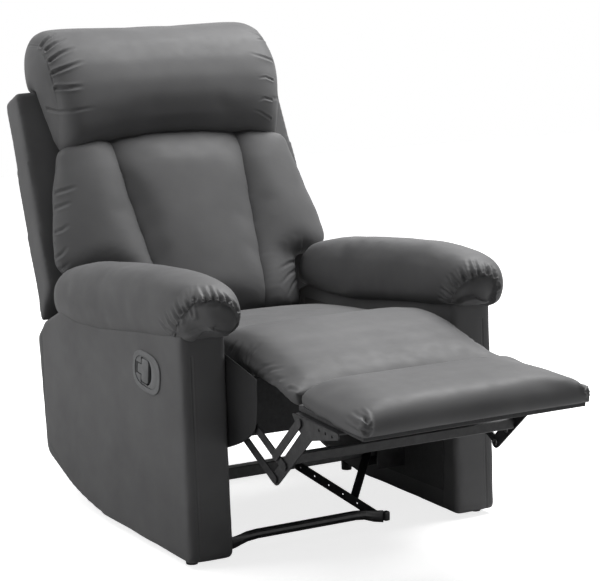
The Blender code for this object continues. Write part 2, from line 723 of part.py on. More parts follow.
def make_links():
    for side, word in SIDES:
        guide = prism(bar_outline(PIN_A, PIN_C, LINK_RADIUS, LINK_RADIUS), *layer(side, LAYER_2))
        guide = cut(guide, hole(side, LAYER_2, PIN_A), hole(side, LAYER_2, PIN_C))
        add_piece(word + "_guide_link", guide, STEEL, point(0, *PIN_A))

        drive = prism(bar_outline(PIN_B, PIN_D, LINK_RADIUS, LINK_RADIUS), *layer(side, LAYER_2))
        drive = cut(drive, *(hole(side, LAYER_2, p) for p in (PIN_B, PIN_G, PIN_D)))
        add_piece(word + "_drive_link", drive, STEEL, point(0, *PIN_B))

        lift = prism(bar_outline(PIN_C, PIN_E, LIFT_LOW_RADIUS, LIFT_TOP_RADIUS),
                     *layer(side, LAYER_3))
        lift = join(lift, *(pin_out(side, p) for p in (PIN_C, PIN_D, PIN_E)))
        add_piece(word + "_lift_link", lift, STEEL, point(0, *PIN_D))

        front = prism(bar_outline(PIN_G, PIN_F, LINK_RADIUS, LINK_RADIUS), *layer(side, LAYER_1))
        flush = LAYER_2 - PLATE
        front = join(front, *(pin(side, p, LAYER_1 - PLATE / 2, flush) for p in (PIN_G, PIN_F)))
        add_piece(word + "_front_link", front, STEEL, point(0, *PIN_G))


TUBE_HALF = 0.0125          # half the width of the square cross tubes
TUBE_WALL = 0.0015
LIFT_TUBE_SHARE = 0.22      # where the tube sits between the lift link's middle and upper pins


def square_tube(centre, half, wall, x_low, x_high):
    f, z = centre
    solid = block((x_low, x_high), (f - half, f + half), (z - half, z + half))
    inner = half - wall
    bore = block((x_low - OVERRUN, x_high + OVERRUN), (f - inner, f + inner),
                 (z - inner, z + inner))
    return cut(soften(solid, wall, 1), bore)


def make_lift_tube():
    centre = PIN_D + LIFT * LIFT_TUBE_SHARE
    reach = LAYER_3 - PLATE - GAP
    add_piece("lift_cross_tube", square_tube(centre, TUBE_HALF * 0.8, TUBE_WALL, -reach, reach),
              STEEL, point(0, *PIN_D))


# Foot board and its brackets
BOARD_THICKNESS = 0.012
BOARD_SLOPE_DEG = -3.4
BOARD_REAR = Vector((0.250, 0.3570))      # rear lower edge of the board
BOARD_LENGTH = 0.229
BOARD_ROOM = 0.0195          # between the board and the arms' inner walls, when it is folded
BOARD_HALF_WIDTH = ARM_INNER - BOARD_ROOM
FOOT_PAD_REAR_ROOM = 0.0135  # between the pad and the arms' inner walls, when it is folded
FOOT_PAD_FRONT_ROOM = 0.0065
FOOT_PAD_HALF_REAR = ARM_INNER - FOOT_PAD_REAR_ROOM
FOOT_PAD_HALF_FRONT = ARM_INNER - FOOT_PAD_FRONT_ROOM
FOOT_PAD_LIP = 0.012         # the pad beyond the board's front edge
FOOT_PAD_RIM = 0.036         # its edge and its crown above the board's underside
FOOT_PAD_THICKNESS = 0.062
FOOT_PAD_TUCK = 0.004        # how much narrower it is below than above
FOOT_PAD_DRAW = 0.003        # how much its long sides draw in midway
OTTOMAN_FLANGE = 0.030
OTTOMAN_FLANGE_REAR = 0.010
OTTOMAN_EDGE = 0.014         # plate left round the bracket's pins
OTTOMAN_NOSE = 0.050         # how far ahead of its front pin the plate stays deep
OTTOMAN_TIP = 0.012          # its depth at its front end
OTTOMAN_REAR = 0.004         # its rear end behind the board's rear edge
OTTOMAN_LENGTH_SHARE = 0.72  # of the board's length
OTTOMAN_HOLE_DROP = 0.011
OTTOMAN_HOLE_SHARES = (0.42, 0.52, 0.62)


def board_point(x, along, above):
    """A point on the foot board: along from its rear edge, above its underside."""
    angle = math.radians(BOARD_SLOPE_DEG)
    return point(x, BOARD_REAR.x + along * math.cos(angle) - above * math.sin(angle),
                 BOARD_REAR.y + along * math.sin(angle) + above * math.cos(angle))


def board_slab(x_range, along_range, above_range):
    bm = bmesh.new()
    verts = {}
    for i, x in enumerate(x_range):
        for j, a in enumerate(along_range):
            for k, h in enumerate(above_range):
                verts[i, j, k] = bm.verts.new(board_point(x, a, h))
    ring = ((0, 0), (1, 0), (1, 1), (0, 1))
    for i in (0, 1):
        bm.faces.new([verts[i, j, k] for j, k in ring])
    for n in range(4):
        (j, k), (m, p) = ring[n], ring[(n + 1) % 4]
        bm.faces.new([verts[0, j, k], verts[1, j, k], verts[1, m, p], verts[0, m, p]])
    return closed(bm)


def make_foot_board():
    pivot = point(0, *FOLD_CENTRE)
    board = board_slab((-BOARD_HALF_WIDTH, BOARD_HALF_WIDTH), (0, BOARD_LENGTH),
                       (GAP, BOARD_THICKNESS))
    add_piece("foot_board", soften(board, GAP * 4, 1), WOOD, pivot)
    for side, word in SIDES:
        angle = math.radians(BOARD_SLOPE_DEG)
        way = Vector((math.cos(angle), math.sin(angle)))
        tip = BOARD_REAR + way * BOARD_LENGTH * OTTOMAN_LENGTH_SHARE
        edge = OTTOMAN_EDGE
        outline = rounded([
            (BOARD_REAR.x - OTTOMAN_REAR, BOARD_REAR.y - PLATE), (tip.x, tip.y),
            (tip.x, tip.y - OTTOMAN_TIP), (PIN_E.x + OTTOMAN_NOSE, PIN_E.y - edge * 0.3),
            (PIN_E.x + edge * 0.6, PIN_E.y - edge), (PIN_E.x - edge * 0.85, PIN_E.y - edge * 0.85),
            (PIN_F.x - edge * 0.45, PIN_F.y - edge), (PIN_F.x - edge, PIN_F.y - edge * 0.3)],
            edge * 0.45)
        web = prism(outline, *layer(side, LAYER_2))
        holes = [BOARD_REAR + way * BOARD_LENGTH * s - Vector((0, OTTOMAN_HOLE_DROP))
                 for s in OTTOMAN_HOLE_SHARES]
        flange = board_slab(mirrored(side, LAYER_2 - OTTOMAN_FLANGE, LAYER_2 - PLATE / 2),
                            (OTTOMAN_FLANGE_REAR, BOARD_LENGTH * OTTOMAN_LENGTH_SHARE), (-PLATE, 0))
        body = join(web, flange)
        body = cut(body, hole(side, LAYER_2, PIN_E), hole(side, LAYER_2, PIN_F))
        for centre in holes:
            body = cut(body, cylinder(point(side * (LAYER_2 - PLATE - OVERRUN / 2), *centre),
                                      point(side * (LAYER_2 + OVERRUN), *centre),
                                      PIN_RADIUS * 0.8, 10))
        add_piece(word + "_ottoman_bracket", body, STEEL, pivot)


def make_foot_pad():
    """The padded top of the foot board, which wraps over the board's front and sides."""
    length = BOARD_LENGTH + FOOT_PAD_LIP

    def half_at(t):
        return FOOT_PAD_HALF_REAR + (FOOT_PAD_HALF_FRONT - FOOT_PAD_HALF_REAR) * (t + 1) / 2

    def rim(s, t):
        return min(1 - abs(s) ** 8, 1 - max(t, 0) ** 10, 1 - 0.5 * max(-t, 0) ** 10)

    def top(s, t):
        x = s * (half_at(t) - FOOT_PAD_DRAW * (1 - t * t))
        rise = FOOT_PAD_RIM + (FOOT_PAD_THICKNESS - FOOT_PAD_RIM) * max(rim(s, t), 0) ** 0.5
        return board_point(x, length * (t + 1) / 2, rise)

    def bottom(s, t):
        return board_point(s * (half_at(t) - FOOT_PAD_TUCK),
                           (length - FOOT_PAD_TUCK) * (t + 1) / 2, GAP)

    pocket = board_slab((-BOARD_HALF_WIDTH - GAP, BOARD_HALF_WIDTH + GAP),
                        (-OVERRUN, BOARD_LENGTH + GAP), (-OVERRUN, BOARD_THICKNESS + GAP))
    add_piece("foot_pad", cut(pad(top, bottom, 14, 10), pocket), LEATHER,
              point(0, *FOLD_CENTRE), 60.0)


# Calf pad: a stuffed pad from the seat's front edge to the foot board
CALF_ROOM = 0.0125           # between the pad and the arms' inner walls
CALF_HALF_WIDTH = ARM_INNER - CALF_ROOM
CALF_REAR = -0.1395
CALF_FRONT = 0.2455
CALF_CROWN = 0.005
CALF_SIDE_FALL = 0.022
CALF_DRAW = 0.004
CALF_TUCK = 0.008
# Height of the middle line's top and of its underside against forward
CALF_TOP = ((-0.1395, 0.432), (-0.100, 0.452), (-0.045, 0.461), (0.005, 0.460), (0.050, 0.453),
            (0.095, 0.441), (0.140, 0.429), (0.220, 0.406), (0.2455, 0.393))
CALF_LOW = ((-0.1395, 0.3586), (-0.045, 0.3586), (0.0, 0.380), (0.05, 0.391), (0.12, 0.385),
            (0.2455, 0.357))


def make_calf_pad():
    def place(t):
        return CALF_REAR + (CALF_FRONT - CALF_REAR) * (t + 1) / 2

    def top(s, t):
        f = place(t)
        side_fall = CALF_SIDE_FALL * abs(s) ** 10
        crown = CALF_CROWN * (1 - s * s) * (1 - t ** 4)
        x = s * (CALF_HALF_WIDTH - CALF_DRAW * (1 - t * t))
        return point(x, f, curve_through(CALF_TOP, f) + crown - side_fall * (1 - t ** 6))

    def bottom(s, t):
        f = place(t)
        return point(s * (CALF_HALF_WIDTH - CALF_TUCK), f, curve_through(CALF_LOW, f))

    add_piece("calf_pad", pad(top, bottom, 12, 14), LEATHER, smooth_deg=60.0)


# Seat
SEAT_FRAME_HEIGHT = 0.040
SEAT_FRAME_FRONT = -0.045
SEAT_FRAME_REAR = -0.480
SEAT_FRAME_ROOM = 0.016      # between the frame and the arms' inner walls
SEAT_FRAME_HALF = ARM_INNER - SEAT_FRAME_ROOM
SEAT_RAIL = 0.050
SEAT_CUSHION_REAR = -0.488
SEAT_CUSHION_FRONT = -0.140
SEAT_CUSHION_ROOM = 0.0065   # between the cushion and the arms' inner walls
SEAT_CUSHION_HALF = ARM_INNER - SEAT_CUSHION_ROOM
SEAT_CROWN = 0.010
SEAT_REAR_DROP = 0.030       # how much lower the cushion's top is at the rear
SEAT_EDGE_FALL = 0.014
SEAT_DRAW = 0.004
SEAT_TUCK = 0.005
SPRING_COUNT = 4
SPRING_WIRE = 0.0018
SPRING_LOOPS = 9
SPRING_SWING = 0.024


def make_seat():
    low, high = SEAT_FRAME_BOTTOM, SEAT_FRAME_BOTTOM + SEAT_FRAME_HEIGHT
    body = block((-SEAT_FRAME_HALF, SEAT_FRAME_HALF), (SEAT_FRAME_REAR, SEAT_FRAME_FRONT),
                 (low, high))
    window = block((-SEAT_FRAME_HALF + SEAT_RAIL, SEAT_FRAME_HALF - SEAT_RAIL),
                   (SEAT_FRAME_REAR + SEAT_RAIL, SEAT_FRAME_FRONT - SEAT_RAIL),
                   (low - OVERRUN, high + OVERRUN))
    add_piece("seat_frame", cut(body, window), WOOD)

    wire_height = high - SPRING_WIRE * 4
    front = SEAT_FRAME_FRONT - SEAT_RAIL - GAP - SPRING_WIRE
    rear = SEAT_FRAME_REAR + SEAT_RAIL + GAP + SPRING_WIRE
    spread = (SEAT_FRAME_HALF - SEAT_RAIL) * 2 / SPRING_COUNT
    for n in range(SPRING_COUNT):
        middle = (n - (SPRING_COUNT - 1) / 2) * spread
        route = []
        steps = SPRING_LOOPS * 4
        for k in range(steps + 1):
            share = k / steps
            swing = SPRING_SWING * math.sin(math.pi * SPRING_LOOPS * share)
            crown = 4 * share * (1 - share) * SPRING_WIRE * 2
            route.append(point(middle + swing, rear + (front - rear) * share,
                               wire_height + crown))
        add_piece("seat_spring_%d" % (n + 1), sweep(route, SPRING_WIRE, 6), BRIGHT_STEEL,
                  smooth_deg=70.0)

    cushion_low = high + GAP

    def place(t):
        return SEAT_CUSHION_REAR + (SEAT_CUSHION_FRONT - GAP - SEAT_CUSHION_REAR) * (t + 1) / 2

    def top(s, t):
        base = SEAT_TOP - SEAT_REAR_DROP * (1 - t) / 2
        crown = SEAT_CROWN * (1 - s * s) * (1 - t * t)
        fall = SEAT_EDGE_FALL * max(abs(s) ** 8, abs(t) ** 8)
        x = s * (SEAT_CUSHION_HALF - SEAT_DRAW * (1 - t * t))
        return point(x, place(t), base + crown - fall)

    def bottom(s, t):
        return point(s * (SEAT_CUSHION_HALF - SEAT_TUCK), place(t), cushion_low)

    add_piece("seat_cushion", pad(top, bottom, 12, 10), LEATHER, smooth_deg=60.0)

    apron_top = low - GAP
    apron_front = SEAT_FRAME_FRONT
    outline_x = APRON_HALF
    corner = [(-outline_x, apron_top), (-outline_x, APRON_LOW), (outline_x, APRON_LOW),
              (outline_x, apron_top)]
    bm = bmesh.new()
    shape = rounded(corner, APRON_CORNER, 5)
    near = [bm.verts.new(point(x, apron_front, z)) for x, z in shape]
    far = [bm.verts.new(point(x, apron_front - APRON_THICKNESS, z)) for x, z in shape]
    bm.faces.new(near)
    bm.faces.new(reversed(far))
    for i in range(len(shape)):
        j = (i + 1) % len(shape)
        bm.faces.new((near[i], near[j], far[j], far[i]))
    add_piece("seat_apron", closed(bm), LINING)


APRON_ROOM = 0.0365          # between the apron and the arms' inner walls
APRON_HALF = ARM_INNER - APRON_ROOM
APRON_LOW = 0.245
APRON_CORNER = 0.030
APRON_THICKNESS = 0.004


# Base: two cross tubes, their brackets, and the front support
BASE_TUBE = Vector((-0.200, 0.120))
REAR_TUBE = Vector((-0.520, 0.200))
BRACKET_REACH = 0.072
BRACKET_HALF_DEPTH = 0.022
BRACKET_TOP = 0.158
BRACKET_LOW = 0.078
FOOT_BAR_FORWARD = -0.014   # the foot bar lies along the chair's width, beside the floor
FOOT_BAR_HEIGHT = 0.026      # of its flattened ends' middle
FOOT_BAR_BOW = 0.013         # how much higher its middle runs
FOOT_BAR_RADIUS = 0.0105
FOOT_BAR_FLAT = 0.003
FOOT_BAR_END_SHARE = 0.17
FOOT_BAR_RINGS = 17
FOOT_BAR_TIP_X = 0.098
FOOT_CAP_HALF = 0.007
FOOT_CAP_LENGTH = 0.014
STRUT_TOP_X = -0.006
STRUT_HALF = 0.010
STRUT_THICKNESS = 0.003
STRUT_HOLES = 6
STRUT_HOLE_RADIUS = 0.0022
BRACE_TOP_ROOM = 0.0895      # from the arms' inner walls to the brace's top
BRACE_TOP_X = ARM_INNER - BRACE_TOP_ROOM
BRACE_HALF = 0.009
BRACE_JOINT_SHARE = 0.70     # where the brace meets the strut


def bar_between(start, end, half_width, thickness, width_way, holes=0):
    """A flat bar from start to end, half_width to each side along width_way."""
    along = (end - start).normalized()
    across = (width_way - along * width_way.dot(along)).normalized()
    normal = along.cross(across)
    bm = bmesh.new()
    verts = []
    for p in (start, end):
        for a, b in ((-1, -1), (1, -1), (1, 1), (-1, 1)):
            verts.append(bm.verts.new(p + across * half_width * a + normal * thickness / 2 * b))
    bm.faces.new(verts[0:4])
    bm.faces.new(verts[7:3:-1])
    for i in range(4):
        j = (i + 1) % 4
        bm.faces.new((verts[i], verts[j], verts[4 + j], verts[4 + i]))
    bm = closed(bm)
    length = (end - start).length
    for n in range(holes):
        middle = start + along * length * (n + 0.5) / holes
        bm = cut(bm, cylinder(middle - normal * OVERRUN, middle + normal * OVERRUN,
                              STRUT_HOLE_RADIUS, 10))
    return bm


def make_base():
    reach = LAYER_1
    for side, word in SIDES:
        x_range = mirrored(side, reach - BRACKET_REACH, reach)
        f_range = (BASE_TUBE.x - BRACKET_HALF_DEPTH, BASE_TUBE.x + BRACKET_HALF_DEPTH)
        body = block(x_range, f_range, (BRACKET_LOW, BRACKET_TOP))
        inner = block(mirrored(side, reach - BRACKET_REACH - OVERRUN, reach - PLATE),
                      (f_range[0] + PLATE, f_range[1] - PLATE),
                      (BRACKET_LOW - OVERRUN, BRACKET_TOP - PLATE))
        add_piece(word + "_base_bracket", cut(body, inner), STEEL)
    inside = reach - PLATE - GAP
    tube_half = BRACKET_HALF_DEPTH - PLATE - GAP
    tube_half = min(tube_half, TUBE_HALF)
    add_piece("base_cross_tube",
              square_tube(BASE_TUBE, tube_half, TUBE_WALL, -inside, inside), STEEL)
    rear = square_tube(REAR_TUBE, TUBE_HALF, TUBE_WALL, -reach, reach)
    add_piece("rear_cross_tube", rear, STEEL)
    make_support(tube_half)


def foot_bar_form(start_x, end_x, grow):
    """A bowed round bar along the chair's width whose ends are beaten flat."""
    rings = []
    for n in range(FOOT_BAR_RINGS):
        share = n / (FOOT_BAR_RINGS - 1)
        round_share = curve_through(((0.0, 0.0), (FOOT_BAR_END_SHARE, 1.0)), min(share, 1 - share))
        deep = FOOT_BAR_FLAT / 2 + (FOOT_BAR_RADIUS - FOOT_BAR_FLAT / 2) * round_share + grow
        high = FOOT_BAR_RADIUS + FOOT_BAR_FLAT * (1 - round_share) + grow
        middle = point(start_x + (end_x - start_x) * share, FOOT_BAR_FORWARD,
                       FOOT_BAR_HEIGHT + FOOT_BAR_BOW * round_share)
        rings.append([middle + Vector((0, deep * math.cos(a), high * math.sin(a)))
                      for a in (2 * math.pi * k / 12 for k in range(12))])
    return loft(rings)


def make_support(tube_half):
    """A holed strut and a brace from the base tube to a bowed foot bar beside the floor."""
    start_x, end_x = -ARM_INNER + GAP + LINING_THICKNESS, FOOT_BAR_TIP_X + STRUT_HALF
    add_piece("foot_bar", foot_bar_form(start_x, end_x, 0.0), STEEL, smooth_deg=50.0)

    def tube_room():
        reach = tube_half + GAP
        return block((-ARM_INNER, ARM_INNER), (BASE_TUBE.x - reach, BASE_TUBE.x + reach),
                     (BASE_TUBE.y - reach, BASE_TUBE.y + reach))

    top = point(STRUT_TOP_X, BASE_TUBE.x + tube_half * 0.6, BASE_TUBE.y)
    low = point(FOOT_BAR_TIP_X, FOOT_BAR_FORWARD - STRUT_HALF * 0.2, FOOT_BAR_HEIGHT)
    upright = Vector((0, 0, 1))
    strut = bar_between(top, low, STRUT_HALF, STRUT_THICKNESS, upright, STRUT_HOLES)
    strut = cut(strut, tube_room(), foot_bar_form(start_x, end_x + OVERRUN, GAP))
    add_piece("support_strut", strut, STEEL)

    joint = top + (low - top) * BRACE_JOINT_SHARE
    brace_top = point(BRACE_TOP_X, BASE_TUBE.x + tube_half * 0.6, BASE_TUBE.y)
    way = (brace_top - joint).normalized()
    face = (low - top).cross(upright).normalized()
    if face.dot(way) < 0:
        face = -face
    brace_low = joint + face * (STRUT_THICKNESS / 2 + GAP) + way * BRACE_HALF * 0.8
    brace = bar_between(brace_low, brace_top, BRACE_HALF, STRUT_THICKNESS, way.cross(upright))
    add_piece("support_brace", cut(brace, tube_room()), STEEL)

    cap = block((end_x + GAP, end_x + FOOT_CAP_LENGTH),
                (FOOT_BAR_FORWARD - FOOT_CAP_HALF, FOOT_BAR_FORWARD + FOOT_CAP_HALF),
                (FOOT_BAR_HEIGHT - FOOT_BAR_RADIUS, FOOT_BAR_HEIGHT + FOOT_BAR_RADIUS))
    add_piece("foot_cap", soften(cap, FOOT_CAP_HALF * 0.5), PLASTIC)


# Back: pieces are drawn in the back's own frame, whose origin is the recline pivot.
# There up runs along the back and ahead stands out from it towards the sitter.
BACK_FRONT = -0.037         # the frame's front face
BACK_REAR = -0.107
FRAME_BOARD = 0.022
COVER_LOW_FRONT = 0.170     # the cover's slanted lower edge, at its front and at its rear
COVER_LOW_REAR = 0.109
UPRIGHT_INNER = 0.285
UPRIGHT_OUTER = 0.325
LEG_OUTER = LAYER_2 - PLATE - GAP
LEG_WIDTH = 0.025
LEG_LOW = 0.022
TOP_ROUND = 0.007
COVER_WINDOW_HALF = 0.235   # the cover is open behind the cushions
COVER_WINDOW_TOP = 0.590
FRAME_LOW_ROOM = 0.006      # between the back frame and the cover, below and above
FRAME_TOP_ROOM = 0.012
FRAME_OVERLAP = 0.010       # of the frame's legs and its lower rail
BACK_PLATE_EDGE = 0.012     # of the back brackets round their pivot
BACK_PLATE_LOW = 0.030      # their foot on the frame's leg, and the upper end of their slant
BACK_PLATE_SLANT = 0.045
BACK_PLATE_TOP = 0.150
STRAP_THICKNESS = 0.002
STRAP_HALF = 0.025


def back_local(x, ahead, up):
    return Vector((x, -ahead, up))


def local_box(x_range, ahead_range, up_range):
    bm = bmesh.new()
    bmesh.ops.create_cube(bm, size=1.0)
    low = back_local(x_range[0], ahead_range[1], up_range[0])
    high = back_local(x_range[1], ahead_range[0], up_range[1])
    size = high - low
    bm.transform(Matrix.Translation((low + high) / 2) @ Matrix.Diagonal((*size, 1.0)))
    return closed(bm)


def add_back_piece(name, bm, material, holder, smooth_deg=35.0):
    obj = add_piece(name, bm, material, smooth_deg=smooth_deg)
    obj.parent = holder
    return obj


def back_half(up):
    """Half the back's width at a height along it."""
    share = min(max((up - COVER_LOW_REAR) / (BACK_LENGTH - COVER_LOW_REAR), 0.0), 1.0)
    return BACK_HALF_BOTTOM + (BACK_HALF_TOP - BACK_HALF_BOTTOM) * share


def cover_solid(inset):
    """The back cover's outer form, or its cavity when inset is given."""
    bm = bmesh.new()
    front, rear = BACK_FRONT - inset, BACK_REAR + inset
    rings = []
    for ahead, low in ((front, COVER_LOW_FRONT), (rear, COVER_LOW_REAR)):
        low = low + inset
        top = BACK_LENGTH - inset
        corners = [(-back_half(low) + inset, low), (back_half(low) - inset, low),
                   (back_half(top) - inset, top), (-back_half(top) + inset, top)]
        shape = corners[:2]
        for (x, up), way in ((corners[2], 1), (corners[3], -1)):
            arc = [(x - way * TOP_ROUND * (1 - math.cos(a)), up - TOP_ROUND * (1 - math.sin(a)))
                   for a in (0, math.pi / 6, math.pi / 3, math.pi / 2)]
            shape += arc if way > 0 else arc[::-1]
        rings.append([bm.verts.new(back_local(x, ahead, up)) for x, up in shape])
    a, b = rings
    bm.faces.new(a)
    bm.faces.new(reversed(b))
    for i in range(len(a)):
        j = (i + 1) % len(a)
        bm.faces.new((a[i], a[j], b[j], b[i]))
    return closed(bm)


def make_back():
    holder = bpy.data.objects.new("back_pivot", None)
    holder.location = point(0, *RECLINE_PIVOT)
    holder.rotation_euler = (-math.radians(RECLINE_DEG), 0, 0)
    bpy.context.scene.collection.objects.link(holder)

    cover = soften(cover_solid(0.0), ARM_EDGE_RADIUS * 0.6)
    window = local_box((-COVER_WINDOW_HALF, COVER_WINDOW_HALF),
                       (BACK_FRONT - WALL - OVERRUN, BACK_FRONT + OVERRUN),
                       (COVER_LOW_FRONT + WALL * 2, COVER_WINDOW_TOP))
    leg_way = local_box((-UPRIGHT_INNER, UPRIGHT_INNER), (BACK_REAR + WALL, BACK_FRONT + OVERRUN),
                        (COVER_LOW_REAR - OVERRUN, COVER_LOW_FRONT + WALL * 2 + OVERRUN))
    add_back_piece("back_cover", cut(cover, cover_solid(WALL), window, leg_way), LEATHER, holder)

    ahead = (BACK_FRONT - WALL - GAP - FRAME_BOARD, BACK_FRONT - WALL - GAP)
    low_rail = COVER_LOW_FRONT + WALL + FRAME_LOW_ROOM
    top_rail = BACK_LENGTH - WALL - FRAME_TOP_ROOM
    frame = local_box((-UPRIGHT_OUTER, -UPRIGHT_INNER), ahead, (low_rail, top_rail))
    frame = join(
        frame,
        local_box((UPRIGHT_INNER, UPRIGHT_OUTER), ahead, (low_rail, top_rail)),
        local_box((-UPRIGHT_OUTER, UPRIGHT_OUTER), ahead, (top_rail - SEAT_RAIL, top_rail)),
        local_box((-UPRIGHT_OUTER, UPRIGHT_OUTER), ahead, (low_rail, low_rail + SEAT_RAIL)),
        local_box((-LEG_OUTER, -LEG_OUTER + LEG_WIDTH), ahead, (LEG_LOW, low_rail + FRAME_OVERLAP)),
        local_box((LEG_OUTER - LEG_WIDTH, LEG_OUTER), ahead, (LEG_LOW, low_rail + FRAME_OVERLAP)),
        local_box((-LEG_OUTER, LEG_OUTER), ahead, (LEG_LOW, LEG_LOW + FRAME_BOARD)))
    add_back_piece("back_frame", frame, WOOD, holder)

    for side, word in SIDES:
        edge = BACK_PLATE_EDGE
        outline = [(-edge, -edge), (edge, -edge), (edge, edge), (ahead[1], BACK_PLATE_SLANT),
                   (ahead[1], BACK_PLATE_TOP), (ahead[0], BACK_PLATE_TOP),
                   (ahead[0], BACK_PLATE_LOW)]
        bm = bmesh.new()
        x_range = layer(side, LAYER_2)
        near = [bm.verts.new(back_local(x_range[0], a, u)) for a, u in outline]
        far = [bm.verts.new(back_local(x_range[1], a, u)) for a, u in outline]
        bm.faces.new(near)
        bm.faces.new(reversed(far))
        for i in range(len(outline)):
            j = (i + 1) % len(outline)
            bm.faces.new((near[i], near[j], far[j], far[i]))
        bore = cylinder(back_local(x_range[0] - OVERRUN, 0, 0),
                        back_local(x_range[1] + OVERRUN, 0, 0), PIN_RADIUS + PIN_CLEARANCE)
        add_back_piece(word + "_back_bracket", cut(closed(bm), bore), STEEL, holder)

    for name, share in (("lower_back_strap", 0.34), ("upper_back_strap", 0.68)):
        middle = low_rail + (top_rail - low_rail) * share
        strap = local_box((-UPRIGHT_OUTER, UPRIGHT_OUTER),
                          (ahead[0] - GAP - STRAP_THICKNESS, ahead[0] - GAP),
                          (middle - STRAP_HALF, middle + STRAP_HALF))
        add_back_piece(name, strap, WEBBING, holder)
    make_back_cushions(holder)


PANEL_LOW = 0.047
PANEL_TOP = 0.462
PANEL_HALF_LOW = 0.127
PANEL_HALF_TOP = 0.166
SEAM_AHEAD_LOW = 0.066
SEAM_AHEAD_TOP = 0.040
PANEL_CROWN = 0.018
PANEL_END_FALL = 0.020
# The wings' outer edge: (height along the back, half width) and (height, ahead)
WING_EDGE = ((0.047, 0.236), (0.110, 0.240), (0.155, 0.245), (0.184, 0.247), (0.208, 0.354),
             (0.223, 0.359), (0.268, 0.351), (0.361, 0.330), (0.462, 0.303))
WING_EDGE_AHEAD = ((0.047, 0.010), (0.150, 0.004), (0.223, 0.010), (0.361, 0.012),
                   (0.462, 0.022))


WING_REAR_INSET = 0.024     # the wings' outer sides draw in towards the frame


def panel_half(up):
    share = (up - PANEL_LOW) / (PANEL_TOP - PANEL_LOW)
    return PANEL_HALF_LOW + (PANEL_HALF_TOP - PANEL_HALF_LOW) * share


def seam_ahead(up):
    share = (up - PANEL_LOW) / (PANEL_TOP - PANEL_LOW)
    return SEAM_AHEAD_LOW + (SEAM_AHEAD_TOP - SEAM_AHEAD_LOW) * share


def make_back_cushions(holder):
    rear = BACK_FRONT + GAP

    def up_at(t, x=0.0):
        limit = PANEL_TOP + HEADREST_ARCH * (1 - (x / HEADREST_HALF) ** 2)
        return PANEL_LOW + (limit - PANEL_LOW) * (t + 1) / 2

    def end_fall(t):
        return PANEL_END_FALL * abs(t) ** 10

    def top(s, t):
        up = up_at(t, s * PANEL_HALF_TOP)
        ahead = seam_ahead(up) + PANEL_CROWN * (1 - s * s) ** 0.7 - end_fall(t)
        return back_local(s * (panel_half(up) - GAP), ahead, up)

    def bottom(s, t):
        up = up_at(t, s * PANEL_HALF_TOP)
        return back_local(s * (panel_half(up) - GAP), rear, up)

    add_back_piece("back_centre_panel", pad(top, bottom, 10, 12), LEATHER, holder, 60.0)

    for side, word in SIDES:
        def wing_up(s, t):
            return up_at(t, PANEL_HALF_TOP + (WING_EDGE[-1][1] - PANEL_HALF_TOP) * (s + 1) / 2)

        def wing_x(s, up):
            inner = panel_half(up) + GAP
            outer = curve_through(WING_EDGE, up)
            return side * (inner + (outer - inner) * (s + 1) / 2)

        def wing_top(s, t):
            up = wing_up(s, t)
            share = (s + 1) / 2
            inner, outer = seam_ahead(up), curve_through(WING_EDGE_AHEAD, up)
            ahead = inner + (outer - inner) * share ** 1.6
            crown = PANEL_CROWN * (1 - s * s) ** 0.7 * 0.8
            return back_local(wing_x(s, up), ahead + crown - end_fall(t) * (1 - share), up)

        def wing_bottom(s, t):
            up = wing_up(s, t)
            x = wing_x(s, up) - side * WING_REAR_INSET * ((s + 1) / 2) ** 3
            return back_local(x, rear, up)

        add_back_piece(word + "_back_wing", pad(wing_top, wing_bottom, 8, 16), LEATHER, holder,
                       60.0)
    make_headrest(holder)


HEADREST_HALF = 0.307
HEADREST_CENTRE = (0.645, 0.000)    # (up, ahead) that the end rings shrink towards
# The pillow's section: (up, ahead) as shares of BACK_LENGTH
HEADREST_SHARES = (
    (0.737, -0.0570), (0.7305, 0.016), (0.743, 0.070), (0.784, 0.108), (0.854, 0.130),
    (0.940, 0.138), (1.027, 0.131), (1.105, 0.108), (1.172, 0.067), (1.210, 0.008),
    (1.224, -0.055), (1.200, -0.113), (1.140, -0.150), (1.066, -0.163), (1.012, -0.157),
    (1.0012, -0.134), (1.0012, -0.0570), (0.880, -0.0570),
)
# Size of the section against the share of the half width
HEADREST_END_SHARES = ((0.0, 1.0), (0.80, 1.0), (0.87, 0.96), (0.92, 0.87), (0.96, 0.70),
                       (0.985, 0.50), (1.0, 0.26))
HEADREST_LOW_DEPTH = 0.175          # from the pillow's widest height to its lower edge
HEADREST_ARCH = 0.026               # how much the lower edge rises in the middle
HEADREST_TAPER = 0.055              # how much narrower the lower edge is
HEADREST_STATION_SHARES = (0.15, 0.45, 0.70, 0.82, 0.87, 0.92, 0.96, 0.985, 1.0)


def make_headrest(holder):
    stations = [-share for share in reversed(HEADREST_STATION_SHARES)]
    stations += HEADREST_STATION_SHARES
    rings = []
    centre_up, centre_ahead = HEADREST_CENTRE
    for share in stations:
        size = curve_through(HEADREST_END_SHARES, abs(share))
        ring = []
        for up, ahead in HEADREST_SHARES:
            u = centre_up + (up * BACK_LENGTH - centre_up) * size
            a = centre_ahead + (ahead * BACK_LENGTH - centre_ahead) * size
            low_share = min(max((centre_up - u) / HEADREST_LOW_DEPTH, 0.0), 1.0)
            u += HEADREST_ARCH * (1 - share * share) * low_share
            x = share * HEADREST_HALF * (1 - HEADREST_TAPER * low_share)
            ring.append(back_local(x, a, u))
        rings.append(ring)
    add_back_piece("headrest_pillow", loft(rings), LEATHER, holder, 70.0)


# Rear skirt: the cloth panel that closes the base between the arms
SKIRT_FORWARD = -0.640
SKIRT_THICKNESS = 0.004
SKIRT_TOP = 0.270
SKIRT_LOW = 0.085


